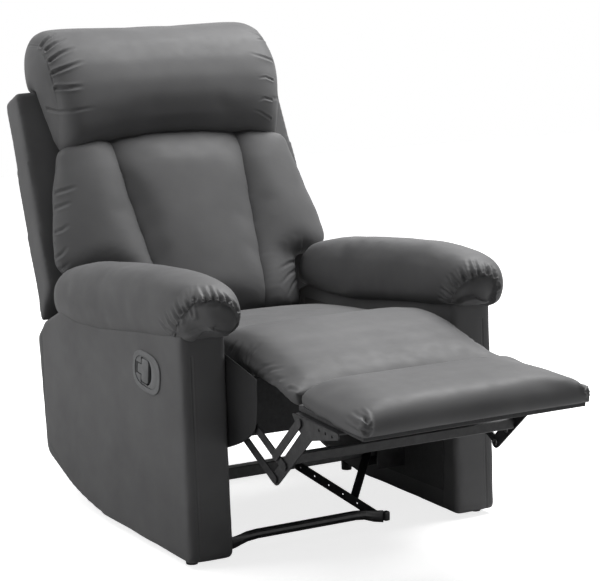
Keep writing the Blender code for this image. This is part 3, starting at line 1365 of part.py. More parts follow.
def make_skirt():
    half = ARM_INNER - GAP
    body = block((-half, half), (SKIRT_FORWARD - SKIRT_THICKNESS, SKIRT_FORWARD),
                 (SKIRT_LOW, SKIRT_TOP))
    add_piece("rear_skirt", body, LEATHER)


def main():
    make_arms()
    make_latch()
    make_cable()
    make_side_plates()
    make_links()
    make_lift_tube()
    make_foot_board()
    make_foot_pad()
    make_calf_pad()
    make_seat()
    make_base()
    make_back()
    make_skirt()


main()
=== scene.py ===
"""Recliner armchair in dark grey imitation leather, opened into its reclined pose.

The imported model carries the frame, the linkage and the latch. This script sews the cushions,
covers and seams around it, gives every part its finish, and sets the light and the camera.
Metres, +Z up, +X to the right as seen from the front, the front towards -Y.
"""
import math

import bmesh
import bpy
import numpy as np
from mathutils import Matrix, Vector
from mathutils.bvhtree import BVHTree


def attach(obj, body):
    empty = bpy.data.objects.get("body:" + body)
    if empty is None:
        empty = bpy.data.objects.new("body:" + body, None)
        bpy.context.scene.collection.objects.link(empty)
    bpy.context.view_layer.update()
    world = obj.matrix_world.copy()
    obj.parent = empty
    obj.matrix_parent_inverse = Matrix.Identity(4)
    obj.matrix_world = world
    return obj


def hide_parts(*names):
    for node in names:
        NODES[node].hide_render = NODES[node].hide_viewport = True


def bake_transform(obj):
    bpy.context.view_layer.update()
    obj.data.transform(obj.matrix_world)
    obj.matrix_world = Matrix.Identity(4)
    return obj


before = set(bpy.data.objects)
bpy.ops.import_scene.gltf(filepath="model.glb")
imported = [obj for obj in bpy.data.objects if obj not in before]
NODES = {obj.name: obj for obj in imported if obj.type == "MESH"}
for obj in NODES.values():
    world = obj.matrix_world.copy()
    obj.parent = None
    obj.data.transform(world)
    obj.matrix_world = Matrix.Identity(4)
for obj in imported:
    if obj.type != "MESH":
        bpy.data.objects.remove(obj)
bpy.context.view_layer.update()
SIDES = ((-1, "left"), (1, "right"))
SCENE = bpy.context.scene

# Camera of the photograph
IMAGE_WIDTH, IMAGE_HEIGHT = 600, 581
CAMERA_AZIMUTH = math.radians(-30.80)
CAMERA_ELEVATION = math.radians(10.12)
CAMERA_ROLL = math.radians(-0.676)
CAMERA_PLACE = Vector((-2.2114, -3.7679, 1.2726))
SENSOR_WIDTH = 36.0
LENS = 124.1
FOCAL_PIXELS = LENS / SENSOR_WIDTH * IMAGE_WIDTH

CAMERA_BACK = Vector((math.sin(CAMERA_AZIMUTH) * math.cos(CAMERA_ELEVATION),
                      -math.cos(CAMERA_AZIMUTH) * math.cos(CAMERA_ELEVATION),
                      math.sin(CAMERA_ELEVATION)))
LEVEL_RIGHT = Vector((math.cos(CAMERA_AZIMUTH), math.sin(CAMERA_AZIMUTH), 0.0))
LEVEL_UP = CAMERA_BACK.cross(LEVEL_RIGHT)
CAMERA_RIGHT = LEVEL_RIGHT * math.cos(CAMERA_ROLL) + LEVEL_UP * math.sin(CAMERA_ROLL)
CAMERA_UP = LEVEL_UP * math.cos(CAMERA_ROLL) - LEVEL_RIGHT * math.sin(CAMERA_ROLL)

# The chair's own planes, as in its model
ARM_FRONT_Y = -0.2255
ARM_INNER, ARM_OUTER = 0.2745, 0.3750
ARM_DEPTH, ARM_HEIGHT, ARM_BOTTOM = 0.699, 0.462, 0.010
RECLINE_PIVOT = Vector((0.0, 0.3295, 0.330))
RECLINE = math.radians(24.5)
BACK_UP = Vector((0.0, math.sin(RECLINE), math.cos(RECLINE)))
BACK_AHEAD = Vector((0.0, -math.cos(RECLINE), math.sin(RECLINE)))
DOWN = Vector((0.0, 0.0, -1.0))


def up_the_back(points):
    """How far up the back each point lies."""
    return (points - np.array(RECLINE_PIVOT)) @ np.array(BACK_UP)


# Materials

def node(tree, kind, inputs=None, **settings):
    """A new shader node; inputs maps its sockets to values or to other nodes' outputs."""
    made = tree.nodes.new("ShaderNode" + kind)
    for name, value in settings.items():
        setattr(made, name, value)
    for name, value in (inputs or {}).items():
        if isinstance(value, bpy.types.NodeSocket):
            tree.links.new(value, made.inputs[name])
        else:
            made.inputs[name].default_value = value
    return made


def nodes_of(material):
    """The material's node tree emptied down to one Principled BSDF."""
    material.use_nodes = True
    tree = material.node_tree
    tree.nodes.clear()
    shader = node(tree, "BsdfPrincipled")
    node(tree, "OutputMaterial", {"Surface": shader.outputs["BSDF"]})
    return tree, shader


def object_coordinates(tree):
    """The object's own metres, which all patterns are laid out in."""
    return node(tree, "TexCoord").outputs["Object"]


def noise(tree, scale, detail=2.0, roughness=0.5, stretch=None):
    """A noise pattern in the object's own metres; stretch scales its axes."""
    source = object_coordinates(tree)
    if stretch:
        source = node(tree, "Mapping", {"Scale": stretch, "Vector": source}).outputs["Vector"]
    return node(tree, "TexNoise", {"Scale": scale, "Detail": detail, "Roughness": roughness,
                                   "Vector": source}).outputs["Fac"]


def grain(tree, scale):
    """Fine pebbles: the distance to the nearest of many scattered points."""
    return node(tree, "TexVoronoi", {"Scale": scale,
                                     "Vector": object_coordinates(tree)}).outputs["Distance"]


def ramp(tree, source, low, high, start=0.3, end=0.7):
    """Maps a pattern onto a range of values."""
    return node(tree, "MapRange", {"From Min": start, "From Max": end, "To Min": low,
                                   "To Max": high, "Value": source}).outputs["Result"]


def shade_between(tree, source, dark, light):
    """A colour that wanders between two tones with a pattern."""
    return node(tree, "Mix", {"A": (*dark, 1.0), "B": (*light, 1.0), "Factor": source},
                data_type="RGBA").outputs["Result"]


def bumped(tree, shader, *layers):
    """Stacks bump layers of (pattern, height in metres, strength) under the shader's normal."""
    below = {}
    for pattern, distance, strength in layers:
        bump = node(tree, "Bump", {"Distance": distance, "Strength": strength,
                                   "Height": pattern, **below})
        below = {"Normal": bump.outputs["Normal"]}
    tree.links.new(below["Normal"], shader.inputs["Normal"])


MIDDLE_RANGE = (0.3, 0.7)    # the part of a noise's values that most patterns use


def wandering(name, tone, tone_range, colours, gloss, roughness):
    """A material whose colour and roughness each wander between two values with a noise.
    tone and gloss are what noise() takes, and tone_range is the part of the noise in use."""
    material = bpy.data.materials.new(name)
    tree, shader = nodes_of(material)
    pattern = ramp(tree, noise(tree, *tone), 0.0, 1.0, *tone_range)
    tree.links.new(shade_between(tree, pattern, *colours), shader.inputs["Base Color"])
    tree.links.new(ramp(tree, noise(tree, *gloss), *roughness), shader.inputs["Roughness"])
    return material, tree, shader


def brightened(colour, gain, lift=0.0):
    return tuple(min(1.0, c * gain + lift) for c in colour)


LEATHER_TONES = ((0.112, 0.112, 0.114), (0.136, 0.136, 0.138))
# Darker leather tones for the curtains beside the calf rest: painted shade, standing for the calf
# rest's shadow over them
CURTAIN_PAINTED_SHADE_TONES = ((0.026, 0.026, 0.027), (0.036, 0.036, 0.037))
PINE_TONES = ((0.30, 0.17, 0.075), (0.56, 0.38, 0.21))
LEATHER_SPECULAR, LEATHER_IOR = 0.18, 1.5
CLOTH_SHEEN, CLOTH_SHEEN_ROUGHNESS = 0.25, 0.6


def leather_material(name, tones=LEATHER_TONES, roughness=0.52):
    """Coated imitation leather: fine pebble grain, soft creases and an uneven satin gloss."""
    material, tree, shader = wandering(name, (9.0, 3.0), MIDDLE_RANGE, tones, (38.0, 4.0),
                                       (roughness - 0.03, roughness + 0.05))
    shader.inputs["Specular IOR Level"].default_value = LEATHER_SPECULAR
    shader.inputs["IOR"].default_value = LEATHER_IOR
    bumped(tree, shader,
           (noise(tree, 14.0, 1.0), 0.0020, 0.12),
           (noise(tree, 120.0, 2.0, stretch=(1.0, 0.7, 1.6)), 0.0003, 0.25),
           (grain(tree, 620.0), 0.00012, 0.50))
    return material


def metal_material(name, colour, roughness, metallic, scratch=0.5, rust=None):
    """Painted or plated steel with a wandering gloss, fine dust and rubbed spots."""
    worn = rust or brightened(colour, 1.7, 0.01)
    material, tree, shader = wandering(name, (55.0, 5.0, 0.6), (0.42, 0.68), (colour, worn),
                                       (90.0, 4.0), (roughness - 0.08, roughness + 0.12))
    shader.inputs["Metallic"].default_value = metallic
    bumped(tree, shader,
           (noise(tree, 900.0, 2.0), 0.00008, scratch),
           (noise(tree, 40.0, 2.0), 0.0004, 0.15))
    return material


def plastic_material(name, colour, roughness):
    """Moulded plastic with a fine spark-eroded texture."""
    material, tree, shader = wandering(name, (30.0, 3.0), MIDDLE_RANGE,
                                       (colour, brightened(colour, 1.25)),
                                       (160.0, 3.0), (roughness - 0.05, roughness + 0.06))
    bumped(tree, shader, (noise(tree, 1500.0, 1.0), 0.00006, 0.45))
    return material


def wood_material(name):
    """Planed pine: long grain with growth bands and a few darker streaks."""
    material, tree, shader = wandering(name, (16.0, 4.0, 0.6, (6.0, 0.6, 6.0)), (0.35, 0.65),
                                       PINE_TONES, (60.0, 3.0), (0.52, 0.70))
    bumped(tree, shader, (noise(tree, 160.0, 3.0, stretch=(5.0, 0.4, 5.0)), 0.0003, 0.5))
    return material


def cloth_material(name, colour, thread=1400.0, roughness=0.85):
    """Woven or spun-bonded cloth: crossed ribs, a dotted bond and a dusty sheen."""
    material, tree, shader = wandering(name, (70.0, 5.0, 0.7), MIDDLE_RANGE,
                                       (colour, brightened(colour, 1.9, 0.004)),
                                       (200.0, 2.0), (roughness - 0.06, roughness + 0.08))
    shader.inputs["Sheen Weight"].default_value = CLOTH_SHEEN
    shader.inputs["Sheen Roughness"].default_value = CLOTH_SHEEN_ROUGHNESS
    bumped(tree, shader,
           (noise(tree, thread, 1.0, stretch=(1.0, 0.12, 0.12)), 0.00025, 0.5),
           (noise(tree, thread, 1.0, stretch=(0.12, 1.0, 1.0)), 0.00025, 0.5),
           (noise(tree, 45.0, 2.0), 0.0012, 0.3))
    return material


LEATHER = leather_material("leatherette_cover")
LEATHER_SIDE = leather_material("leatherette_panel", roughness=0.55)
# A darker copy of the leather for the curtains: painted shade
CURTAIN_PAINTED_SHADE_LEATHER = leather_material("leatherette_curtain_painted_shade", CURTAIN_PAINTED_SHADE_TONES, 0.55)
STEEL = metal_material("black_steel_paint", (0.012, 0.012, 0.013), 0.38, 0.0)
ZINC = metal_material("dull_zinc_plating", (0.20, 0.20, 0.20), 0.38, 1.0, 0.4)
SPRING_STEEL = metal_material("oiled_spring_steel", (0.16, 0.15, 0.14), 0.30, 1.0,
                              rust=(0.10, 0.06, 0.035))
PINE = wood_material("planed_pine")
LINING = cloth_material("black_spunbond", (0.010, 0.010, 0.011), 900.0)
WEBBING = cloth_material("elastic_webbing_weave", (0.028, 0.027, 0.026), 600.0)
BLACK_PLASTIC = plastic_material("black_moulded_plastic", (0.014, 0.014, 0.015), 0.42)
GREY_PLASTIC = plastic_material("grey_moulded_plastic", (0.115, 0.117, 0.120), 0.45)

SLOT_MATERIALS = {
    "grey_leather": LEATHER_SIDE, "padded_leatherette": LEATHER, "black_lining": LINING,
    "black_steel": STEEL, "spring_steel": SPRING_STEEL, "pine_board": PINE,
    "black_plastic": BLACK_PLASTIC, "grey_plastic": GREY_PLASTIC, "elastic_webbing": WEBBING,
}


SMOOTH_ANGLE = math.radians(35)


def paint(piece, material):
    piece.data.materials.clear()
    piece.data.materials.append(material)


def paint_carried_nodes():
    """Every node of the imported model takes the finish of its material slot."""
    for solid in NODES.values():
        paint(solid, SLOT_MATERIALS[solid.data.materials[0].name])
        solid.data.shade_smooth()
        solid.data.set_sharp_from_angle(angle=SMOOTH_ANGLE)


# Meshes and numbers

def put(name, mesh):
    piece = bpy.data.objects.new(name, mesh)
    SCENE.collection.objects.link(piece)
    return piece


def mesh_from(bm, name):
    mesh = bpy.data.meshes.new(name)
    bm.to_mesh(mesh)
    bm.free()
    return mesh


def settle(piece):
    """Turns the piece's modifiers into its mesh."""
    bpy.context.view_layer.update()
    final = bpy.data.meshes.new_from_object(
        piece.evaluated_get(bpy.context.evaluated_depsgraph_get()))
    piece.modifiers.clear()
    piece.data = final


def positions(mesh):
    values = np.empty(len(mesh.vertices) * 3)
    mesh.vertices.foreach_get("co", values)
    return values.reshape(-1, 3)


def directions(mesh):
    values = np.empty(len(mesh.vertices) * 3)
    mesh.vertex_normals.foreach_get("vector", values)
    return values.reshape(-1, 3)


def set_positions(mesh, values):
    mesh.vertices.foreach_set("co", np.ascontiguousarray(values).ravel())
    mesh.update()


def volume_and_area(mesh):
    bm = bmesh.new()
    bm.from_mesh(mesh)
    volume = abs(bm.calc_volume())
    area = sum(face.calc_area() for face in bm.faces)
    bm.free()
    return volume, area


def evened(mesh, values, rounds, pull=0.5):
    """Each point's value drawn towards the mean of its neighbours' values."""
    co = values.copy()
    ends = np.empty(len(mesh.edges) * 2, np.int64)
    mesh.edges.foreach_get("vertices", ends)
    a, b = ends[0::2], ends[1::2]
    count = np.maximum(np.bincount(ends, minlength=len(co)), 1)
    for _ in range(rounds):
        middle = np.empty_like(co)
        for axis in range(3):
            near = np.bincount(a, co[b, axis], len(co)) + np.bincount(b, co[a, axis], len(co))
            middle[:, axis] = near / count
        co += (middle - co) * pull
    return co


def relax(mesh, rounds, pull=0.5):
    """Evens out a mesh by moving each point towards the middle of its neighbours."""
    set_positions(mesh, evened(mesh, positions(mesh), rounds, pull))


def resampled(path, step):
    """The same path with points at an even step."""
    path = np.asarray(path, float)
    run = np.concatenate(([0.0], np.cumsum(np.linalg.norm(np.diff(path, axis=0), axis=1))))
    places = np.linspace(0.0, run[-1], max(2, int(math.ceil(run[-1] / step)) + 1))
    return np.stack([np.interp(places, run, path[:, axis]) for axis in range(3)], axis=1)


def rounded_path(path, rounds=2):
    """Cuts the corners of a path, keeping its ends."""
    path = np.asarray(path, float)
    for _ in range(rounds):
        middle = np.empty((2 * (len(path) - 1), 3))
        middle[0::2] = path[:-1] * 0.75 + path[1:] * 0.25
        middle[1::2] = path[:-1] * 0.25 + path[1:] * 0.75
        path = np.concatenate((path[:1], middle, path[-1:]))
    return path


def mirrored(path):
    return np.asarray(path, float) * (-1.0, 1.0, 1.0)


PANEL_CELL = 0.006           # edge lengths of the skins' meshes before they are subdivided
CUSHION_CELL = 0.007


def soft_copy(solid, name, rounds, *filling):
    """A cushion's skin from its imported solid. rounds says how far its edges are softened, and
    filling is what fill() takes after the piece."""
    return softened(put(name, NODES[solid].data.copy()), CUSHION_CELL, rounds, filling)


def softened(piece, cell, rounds, filling=None):
    """Remeshes a piece evenly, softens its edges, and swells it back to its volume."""
    remesh = piece.modifiers.new("even_cells", "REMESH")
    remesh.mode = "VOXEL"
    remesh.voxel_size = cell
    settle(piece)
    full, _ = volume_and_area(piece.data)
    relax(piece.data, rounds)
    slack, area = volume_and_area(piece.data)
    co = positions(piece.data) + directions(piece.data) * ((full - slack) / area)
    set_positions(piece.data, co)
    if filling:
        fill(piece, *filling)
    finer = piece.modifiers.new("finer", "SUBSURF")
    finer.levels = finer.render_levels = 1
    settle(piece)
    piece.data.shade_smooth()
    return piece


# Filling by cloth simulation

FILL_FRAMES = 20
FILL_PRESSURE = 4.0
FILL_EVENING = 14            # rounds that even out how far the air moves the skin
FILL_HOLD = 0.45             # the skin is held where it faces the resting way by this much
FILL_MASS = 0.3
FILL_STRETCH, FILL_SHEAR, FILL_BEND = 20.0, 8.0, 0.8


def fill(piece, rests_towards, cap, slack):
    """Swells a cushion by air pressure. The side that rests on something is held, and no point
    moves further than cap. slack lets the cover grow, so that it wrinkles beside what holds it."""
    start = positions(piece.data)
    facing = directions(piece.data) @ np.array(Vector(rests_towards).normalized())
    held = piece.vertex_groups.new(name="held")
    held.add([int(i) for i in np.flatnonzero(facing > FILL_HOLD)], 1.0, "REPLACE")
    cloth = piece.modifiers.new("fill", "CLOTH")
    cloth.point_cache.frame_start, cloth.point_cache.frame_end = 1, FILL_FRAMES
    cloth.collision_settings.use_collision = False
    cloth.collision_settings.use_self_collision = False
    settings = cloth.settings
    settings.quality = 4
    settings.mass = FILL_MASS
    settings.tension_stiffness = settings.compression_stiffness = FILL_STRETCH
    settings.shear_stiffness = FILL_SHEAR
    settings.bending_stiffness = FILL_BEND
    settings.use_pressure = True
    settings.uniform_pressure_force = FILL_PRESSURE
    settings.shrink_min = settings.shrink_max = -slack
    settings.vertex_group_mass = "held"
    settings.effector_weights.gravity = 0.0
    for number in range(1, FILL_FRAMES + 1):
        SCENE.frame_set(number)
    settle(piece)
    SCENE.frame_set(1)
    piece.vertex_groups.clear()
    move = positions(piece.data) - start
    far = np.maximum(np.linalg.norm(move, axis=1, keepdims=True), 1e-9)
    move = evened(piece.data, move * (cap * np.tanh(far / cap) / far), FILL_EVENING)
    set_positions(piece.data, start + move)
    relax(piece.data, 2)


# Sewing and creasing

FADES = {
    "even": lambda share: np.ones_like(share),
    "away": lambda share: (1.0 - share) ** 0.9,
}
TRACE_STEP = 2.0             # pixels, along a line drawn over the photograph
PATH_STEP = 0.0015           # metres, along a line that is pressed into a skin
LAID_STEP = 0.004            # along a path that is dropped onto a skin or led over it
SEAM_STEP = 0.002
BATCH = 4000
SEAM_REACH, FOLD_REACH = 0.009, 0.012      # the mesh is made finer this near seams and folds
GROOVE_REACH = 3.6           # how far a groove's lips reach, in half widths
LIP_PLACE, LIP_WIDTH = 2.0, 0.8
PUCKER_RIDGE, PUCKER_LEAN = 0.55, 0.35
FACING_CAMERA = -0.2         # what faces further away than this isn't seen in the photograph
RECESS_EDGE = 2.5            # pixels
RIPPLE_WAVES = 9


def eased(share):
    """A share from 0 to 1 that starts and ends gently."""
    share = np.clip(share, 0.0, 1.0)
    return share * share * (3 - 2 * share)


class Skin:
    """A soft piece's surface while seams, folds and gathers are pressed into it."""

    def __init__(self, piece):
        self.piece = piece
        self.start()

    def start(self):
        self.co = positions(self.piece.data)
        self.no = directions(self.piece.data)
        bpy.context.view_layer.update()
        self.tree = BVHTree.FromObject(self.piece, bpy.context.evaluated_depsgraph_get())

    def traced(self, pixels):
        """Points on the skin under a line drawn over the photograph."""
        found = []
        for (ax, ay), (bx, by) in zip(pixels, pixels[1:]):
            count = max(1, int(math.hypot(bx - ax, by - ay) / TRACE_STEP))
            for k in range(count + 1):
                share = k / count
                hit = self.tree.ray_cast(CAMERA_PLACE, photo_ray(ax + (bx - ax) * share,
                                                                 ay + (by - ay) * share))
                if hit[0] is not None:
                    found.append(hit[0])
        return np.array([tuple(p) for p in found])

    def laid(self, path):
        """A path in space dropped onto the skin."""
        return np.array([tuple(self.tree.find_nearest(Vector(p))[0])
                         for p in resampled(path, LAID_STEP)])

    def refine(self, paths, reach=SEAM_REACH):
        """Halves the mesh's cells along paths, so that narrow seams hold their shape."""
        bm = bmesh.new()
        bm.from_mesh(self.piece.data)
        near = np.zeros(len(self.co), bool)
        for path in paths:
            near[self.close(path, reach)[0]] = True
        bm.verts.ensure_lookup_table()
        edges = [e for e in bm.edges if near[e.verts[0].index] and near[e.verts[1].index]]
        bmesh.ops.subdivide_edges(bm, edges=edges, cuts=1, use_grid_fill=True)
        bm.to_mesh(self.piece.data)
        bm.free()
        self.piece.data.shade_smooth()
        self.start()

    def close(self, path, reach):
        """Points within reach of a path, their distance, and their share along it."""
        path = resampled(path, PATH_STEP)
        inside = (self.co > path.min(0) - reach) & (self.co < path.max(0) + reach)
        near = np.flatnonzero(inside.all(1))
        gap, place = np.full(len(near), np.inf), np.zeros(len(near))
        for start in range(0, len(near), BATCH):
            part = slice(start, start + BATCH)
            apart = np.linalg.norm(self.co[near[part], None] - path[None], axis=2)
            gap[part] = apart.min(1)
            place[part] = apart.argmin(1)
        keep = gap < reach
        return near[keep], gap[keep], place[keep] / (len(path) - 1)

    def press(self, path, width, depth, ridge=0.0, fade="even"):
        """A groove of a given half width, with raised lips beside it where ridge is given."""
        if len(path) < 2:
            return
        near, gap, share = self.close(path, width * GROOVE_REACH)
        across = gap / width
        lip = np.exp(-((across - LIP_PLACE) / LIP_WIDTH) ** 2)
        shape = np.exp(-across ** 2) - ridge * lip
        self.co[near] -= self.no[near] * (depth * shape * FADES[fade](share))[:, None]

    def gather(self, seam, towards, count, length, width, depth, rng):
        """Puckers running from a sewn edge into the skin, on the side of a given point."""
        seam = resampled(seam, SEAM_STEP)
        towards = Vector(towards)
        for k in range(count):
            share = (k + 0.5 + rng.uniform(-0.32, 0.32)) / count
            i = min(max(int(share * (len(seam) - 1)), 1), len(seam) - 2)
            tangent = Vector(seam[i + 1] - seam[i - 1]).normalized()
            place, normal, _, _ = self.tree.find_nearest(Vector(seam[i]))
            across = normal.cross(tangent).normalized()
            if across.dot(towards - place) < 0:
                across = -across
            heading = (across + tangent * rng.uniform(-PUCKER_LEAN, PUCKER_LEAN)).normalized()
            reach = length * rng.uniform(0.55, 1.25)
            path = [place]
            for _ in range(max(3, int(reach / LAID_STEP))):
                spot, normal, _, _ = self.tree.find_nearest(path[-1] + heading * LAID_STEP)
                heading = (heading - normal * heading.dot(normal)).normalized()
                path.append(spot)
            self.press([tuple(p) for p in path], width * rng.uniform(0.75, 1.3),
                       depth * rng.uniform(0.55, 1.25), ridge=PUCKER_RIDGE, fade="away")

    def shift(self, share, move):
        """Moves each point by its share of a vector."""
        self.co += np.asarray(share, float)[:, None] * np.asarray(move, float)

    def pull(self, centre, reach, move):
        """Draws the skin round a point along a vector, fading with distance."""
        gap = np.linalg.norm(self.co - np.asarray(centre, float), axis=1) / reach
        self.shift(np.exp(-gap ** 2), move)

    def shift_where(self, value, start, end, move):
        """Moves the skin by a vector where a value of each point passes from start to end."""
        self.shift(eased((value - start) / (end - start)), move)

    def push_facing(self, heading, amount, power):
        """Swells the parts of the skin that face a given way."""
        facing = np.clip(self.no @ np.array(Vector(heading).normalized()), 0.0, 1.0)
        self.co += self.no * (amount * facing ** power)[:, None]

    def recess(self, outline, move):
        """Moves the skin inside an outline drawn over the photograph, easing in at its edge."""
        spot = pixels_of(self.co)
        depth = depth_inside(spot, np.asarray(outline, float))
        seen = (self.no @ np.array(CAMERA_BACK)) > FACING_CAMERA
        self.shift(eased(depth / RECESS_EDGE * seen), move)

    def ripple(self, wave, height, rng, stretch=(1.0, 1.0, 1.0)):
        """Low, irregular swells of about one wavelength over the whole skin."""
        total = np.zeros(len(self.co))
        for _ in range(RIPPLE_WAVES):
            heading = rng.normal(size=3) * stretch
            heading /= np.linalg.norm(heading)
            length = wave * rng.uniform(0.7, 1.5)
            total += np.sin(self.co @ heading * (2 * math.pi / length) + rng.uniform(0, 6.28))
        self.co += self.no * (total * (height / math.sqrt(RIPPLE_WAVES)))[:, None]

    def finish(self):
        set_positions(self.piece.data, self.co)


def photo_ray(x, y):
    """The direction from the camera through a pixel of the photograph."""
    across = (x - IMAGE_WIDTH / 2) / FOCAL_PIXELS
    up = (IMAGE_HEIGHT / 2 - y) / FOCAL_PIXELS
    return (CAMERA_RIGHT * across + CAMERA_UP * up - CAMERA_BACK).normalized()


def pixels_of(points):
    """Where points in space lie in the photograph."""
    away = points - np.array(CAMERA_PLACE)
    deep = -(away @ np.array(CAMERA_BACK))
    return np.stack((IMAGE_WIDTH / 2 + away @ np.array(CAMERA_RIGHT) / deep * FOCAL_PIXELS,
                     IMAGE_HEIGHT / 2 - away @ np.array(CAMERA_UP) / deep * FOCAL_PIXELS), axis=1)


def depth_inside(spots, outline):
    """How far each spot lies inside a closed outline; nothing outside it."""
    crossed = np.zeros(len(spots), bool)
    depth = np.full(len(spots), np.inf)
    for (ax, ay), (bx, by) in zip(outline, np.roll(outline, -1, axis=0)):
        spans = (spots[:, 1] < ay) != (spots[:, 1] < by)
        with np.errstate(divide="ignore", invalid="ignore"):
            at = ax + (spots[:, 1] - ay) * (bx - ax) / (by - ay)
        crossed ^= spans & (spots[:, 0] < at)
        side = np.array([bx - ax, by - ay])
        share = np.clip((spots - (ax, ay)) @ side / (side @ side), 0.0, 1.0)
        depth = np.minimum(depth, np.linalg.norm(spots - (ax, ay) - share[:, None] * side, axis=1))
    return np.where(crossed, depth, 0.0)


def dress(piece, body, material, slot, *nodes, fill=None):
    """Gives a finished piece its material and body, and hides the nodes that it stands for."""
    paint(piece, material)
    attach(piece, body)
    if nodes:
        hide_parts(*nodes)


SEAM_WIDTH, SEAM_DEPTH = 0.0017, 0.0022
SEAM_DIP_WIDTH, SEAM_DIP_DEPTH = 0.009, 0.0018


def sew(skin, paths, depth=SEAM_DEPTH, dip=SEAM_DIP_DEPTH):
    """Seams: a narrow groove in a shallow valley."""
    for path in paths:
        skin.press(path, SEAM_DIP_WIDTH, dip)
        skin.press(path, SEAM_WIDTH, depth, ridge=0.25)


# Headrest pillow: seams and pleats as pixels of the photograph
HEADREST_END_SEAM = ((29, 45), (40, 46), (47, 60), (51, 75), (55, 90), (58, 110), (59, 130), (59, 152))
HEADREST_DEEP_FOLD = ((47, 109), (58, 112), (72, 111), (96, 107))
HEADREST_PLEATS = (
    ((46, 50), (54, 44), (66, 38)), ((50, 61), (60, 54), (75, 47)), ((53, 73), (66, 68), (84, 61)),
    ((56, 88), (68, 88), (84, 86)), ((41, 46), (46, 40), (56, 33)),
)
HEADREST_FAR_CREASES = (
    ((273, 80), (266, 77), (258, 78)), ((271, 44), (264, 40), (256, 39)),
    ((272, 100), (265, 98), (258, 101)), ((270, 118), (260, 112), (253, 110)),
)


HEADREST_LOW_CORNER = (66, 146)
HEADREST_CORNER_PULL = (0.010, 0.004, 0.016)      # outward, ahead and down
HEADREST_CORNER_REACH = 0.040
# Half width, depth and lip of each kind of fold
HEADREST_NEAR_FOLD, HEADREST_FAR_FOLD = (0.0038, 0.0052, 0.45), (0.0034, 0.0022, 0.3)
HEADREST_NEAR_DEEP, HEADREST_FAR_DEEP = (0.0034, 0.0052, 0.15), (0.0034, 0.0024, 0.15)
HEADREST_CREASE = (0.0026, 0.0024, 0.3)


def make_headrest():
    """The pillow over the back's top, with a sewn end, pleats and a deep fold on each side."""
    piece = soft_copy("headrest_pillow", "headrest", 9, -BACK_AHEAD, 0.006, 0.004)
    skin = Skin(piece)
    rng = np.random.default_rng(11)
    seam = rounded_path(skin.traced(HEADREST_END_SEAM))
    folds = [skin.traced(p) for p in HEADREST_PLEATS]
    deep = skin.traced(HEADREST_DEEP_FOLD)
    corner = skin.traced((HEADREST_LOW_CORNER, HEADREST_LOW_CORNER))[0]
    creases = [skin.traced(p) for p in HEADREST_FAR_CREASES]
    seams = [seam, skin.laid(mirrored(seam))]
    far_folds = [skin.laid(mirrored(fold)) for fold in folds]
    far_deep = skin.laid(mirrored(deep))
    skin.refine([*seams, *folds, *far_folds, deep, far_deep, *creases], 0.010)
    skin.ripple(0.20, 0.0008, rng)
    sew(skin, seams)
    for paths, shape in ((folds, HEADREST_NEAR_FOLD), (far_folds[::2], HEADREST_FAR_FOLD),
                         ([deep], HEADREST_NEAR_DEEP), ([far_deep], HEADREST_FAR_DEEP),
                         (creases, HEADREST_CREASE)):
        for fold in paths:
            skin.press(fold, *shape, fade="away")
    outward, ahead, down = HEADREST_CORNER_PULL
    for side in (-1, 1):
        place = corner * (-side, 1.0, 1.0)
        skin.pull(place, HEADREST_CORNER_REACH,
                  Vector((side * outward, 0, 0)) + BACK_AHEAD * ahead - BACK_UP * down)
    skin.finish()
    dress(piece, "back", LEATHER, "padded_leatherette", "headrest_pillow", fill=0.75)


# Back cushions: the wings' wrinkles and gathers
WING_WRINKLES = (
    ((56, 193), (66, 190), (78, 186)), ((56, 208), (62, 206), (72, 202)),
    ((56, 232), (62, 230), (70, 224)), ((56, 258), (62, 254), (68, 246)),
    ((57, 272), (64, 268), (70, 262)),
)
WING_LOW_PUCKERS = (
    ((300, 261), (290, 263), (278, 270)), ((299, 268), (290, 274), (280, 285)),
    ((299, 276), (293, 285), (287, 297)),
)


PANEL_PRESS = 0.011          # how far neighbouring cushions press into their shared seam
CUSHION_TUCK_START, CUSHION_TUCK_END = 0.430, 0.480    # up the back: their tops go under the pillow
CUSHION_TUCK = 0.016
WING_STEP_LOW, WING_STEP_HIGH = 0.215, 0.185           # below this step a wing is narrow
WING_FOOT_WIDEN = 0.014      # the skin fills the room beside the arm pillow's rear end
WING_FOOT_HALF, WING_FOOT_RUN, WING_FOOT_EDGE = 0.200, 0.047, 0.262
WING_WRINKLE = (0.0040, 0.0030, 0.25)
WING_TIP_HALF = (0.235, 0.325)
WING_TIP_UP = (0.225, 0.340)
WING_TIP_DROP = 0.012
CUSHION_EVENING = 4


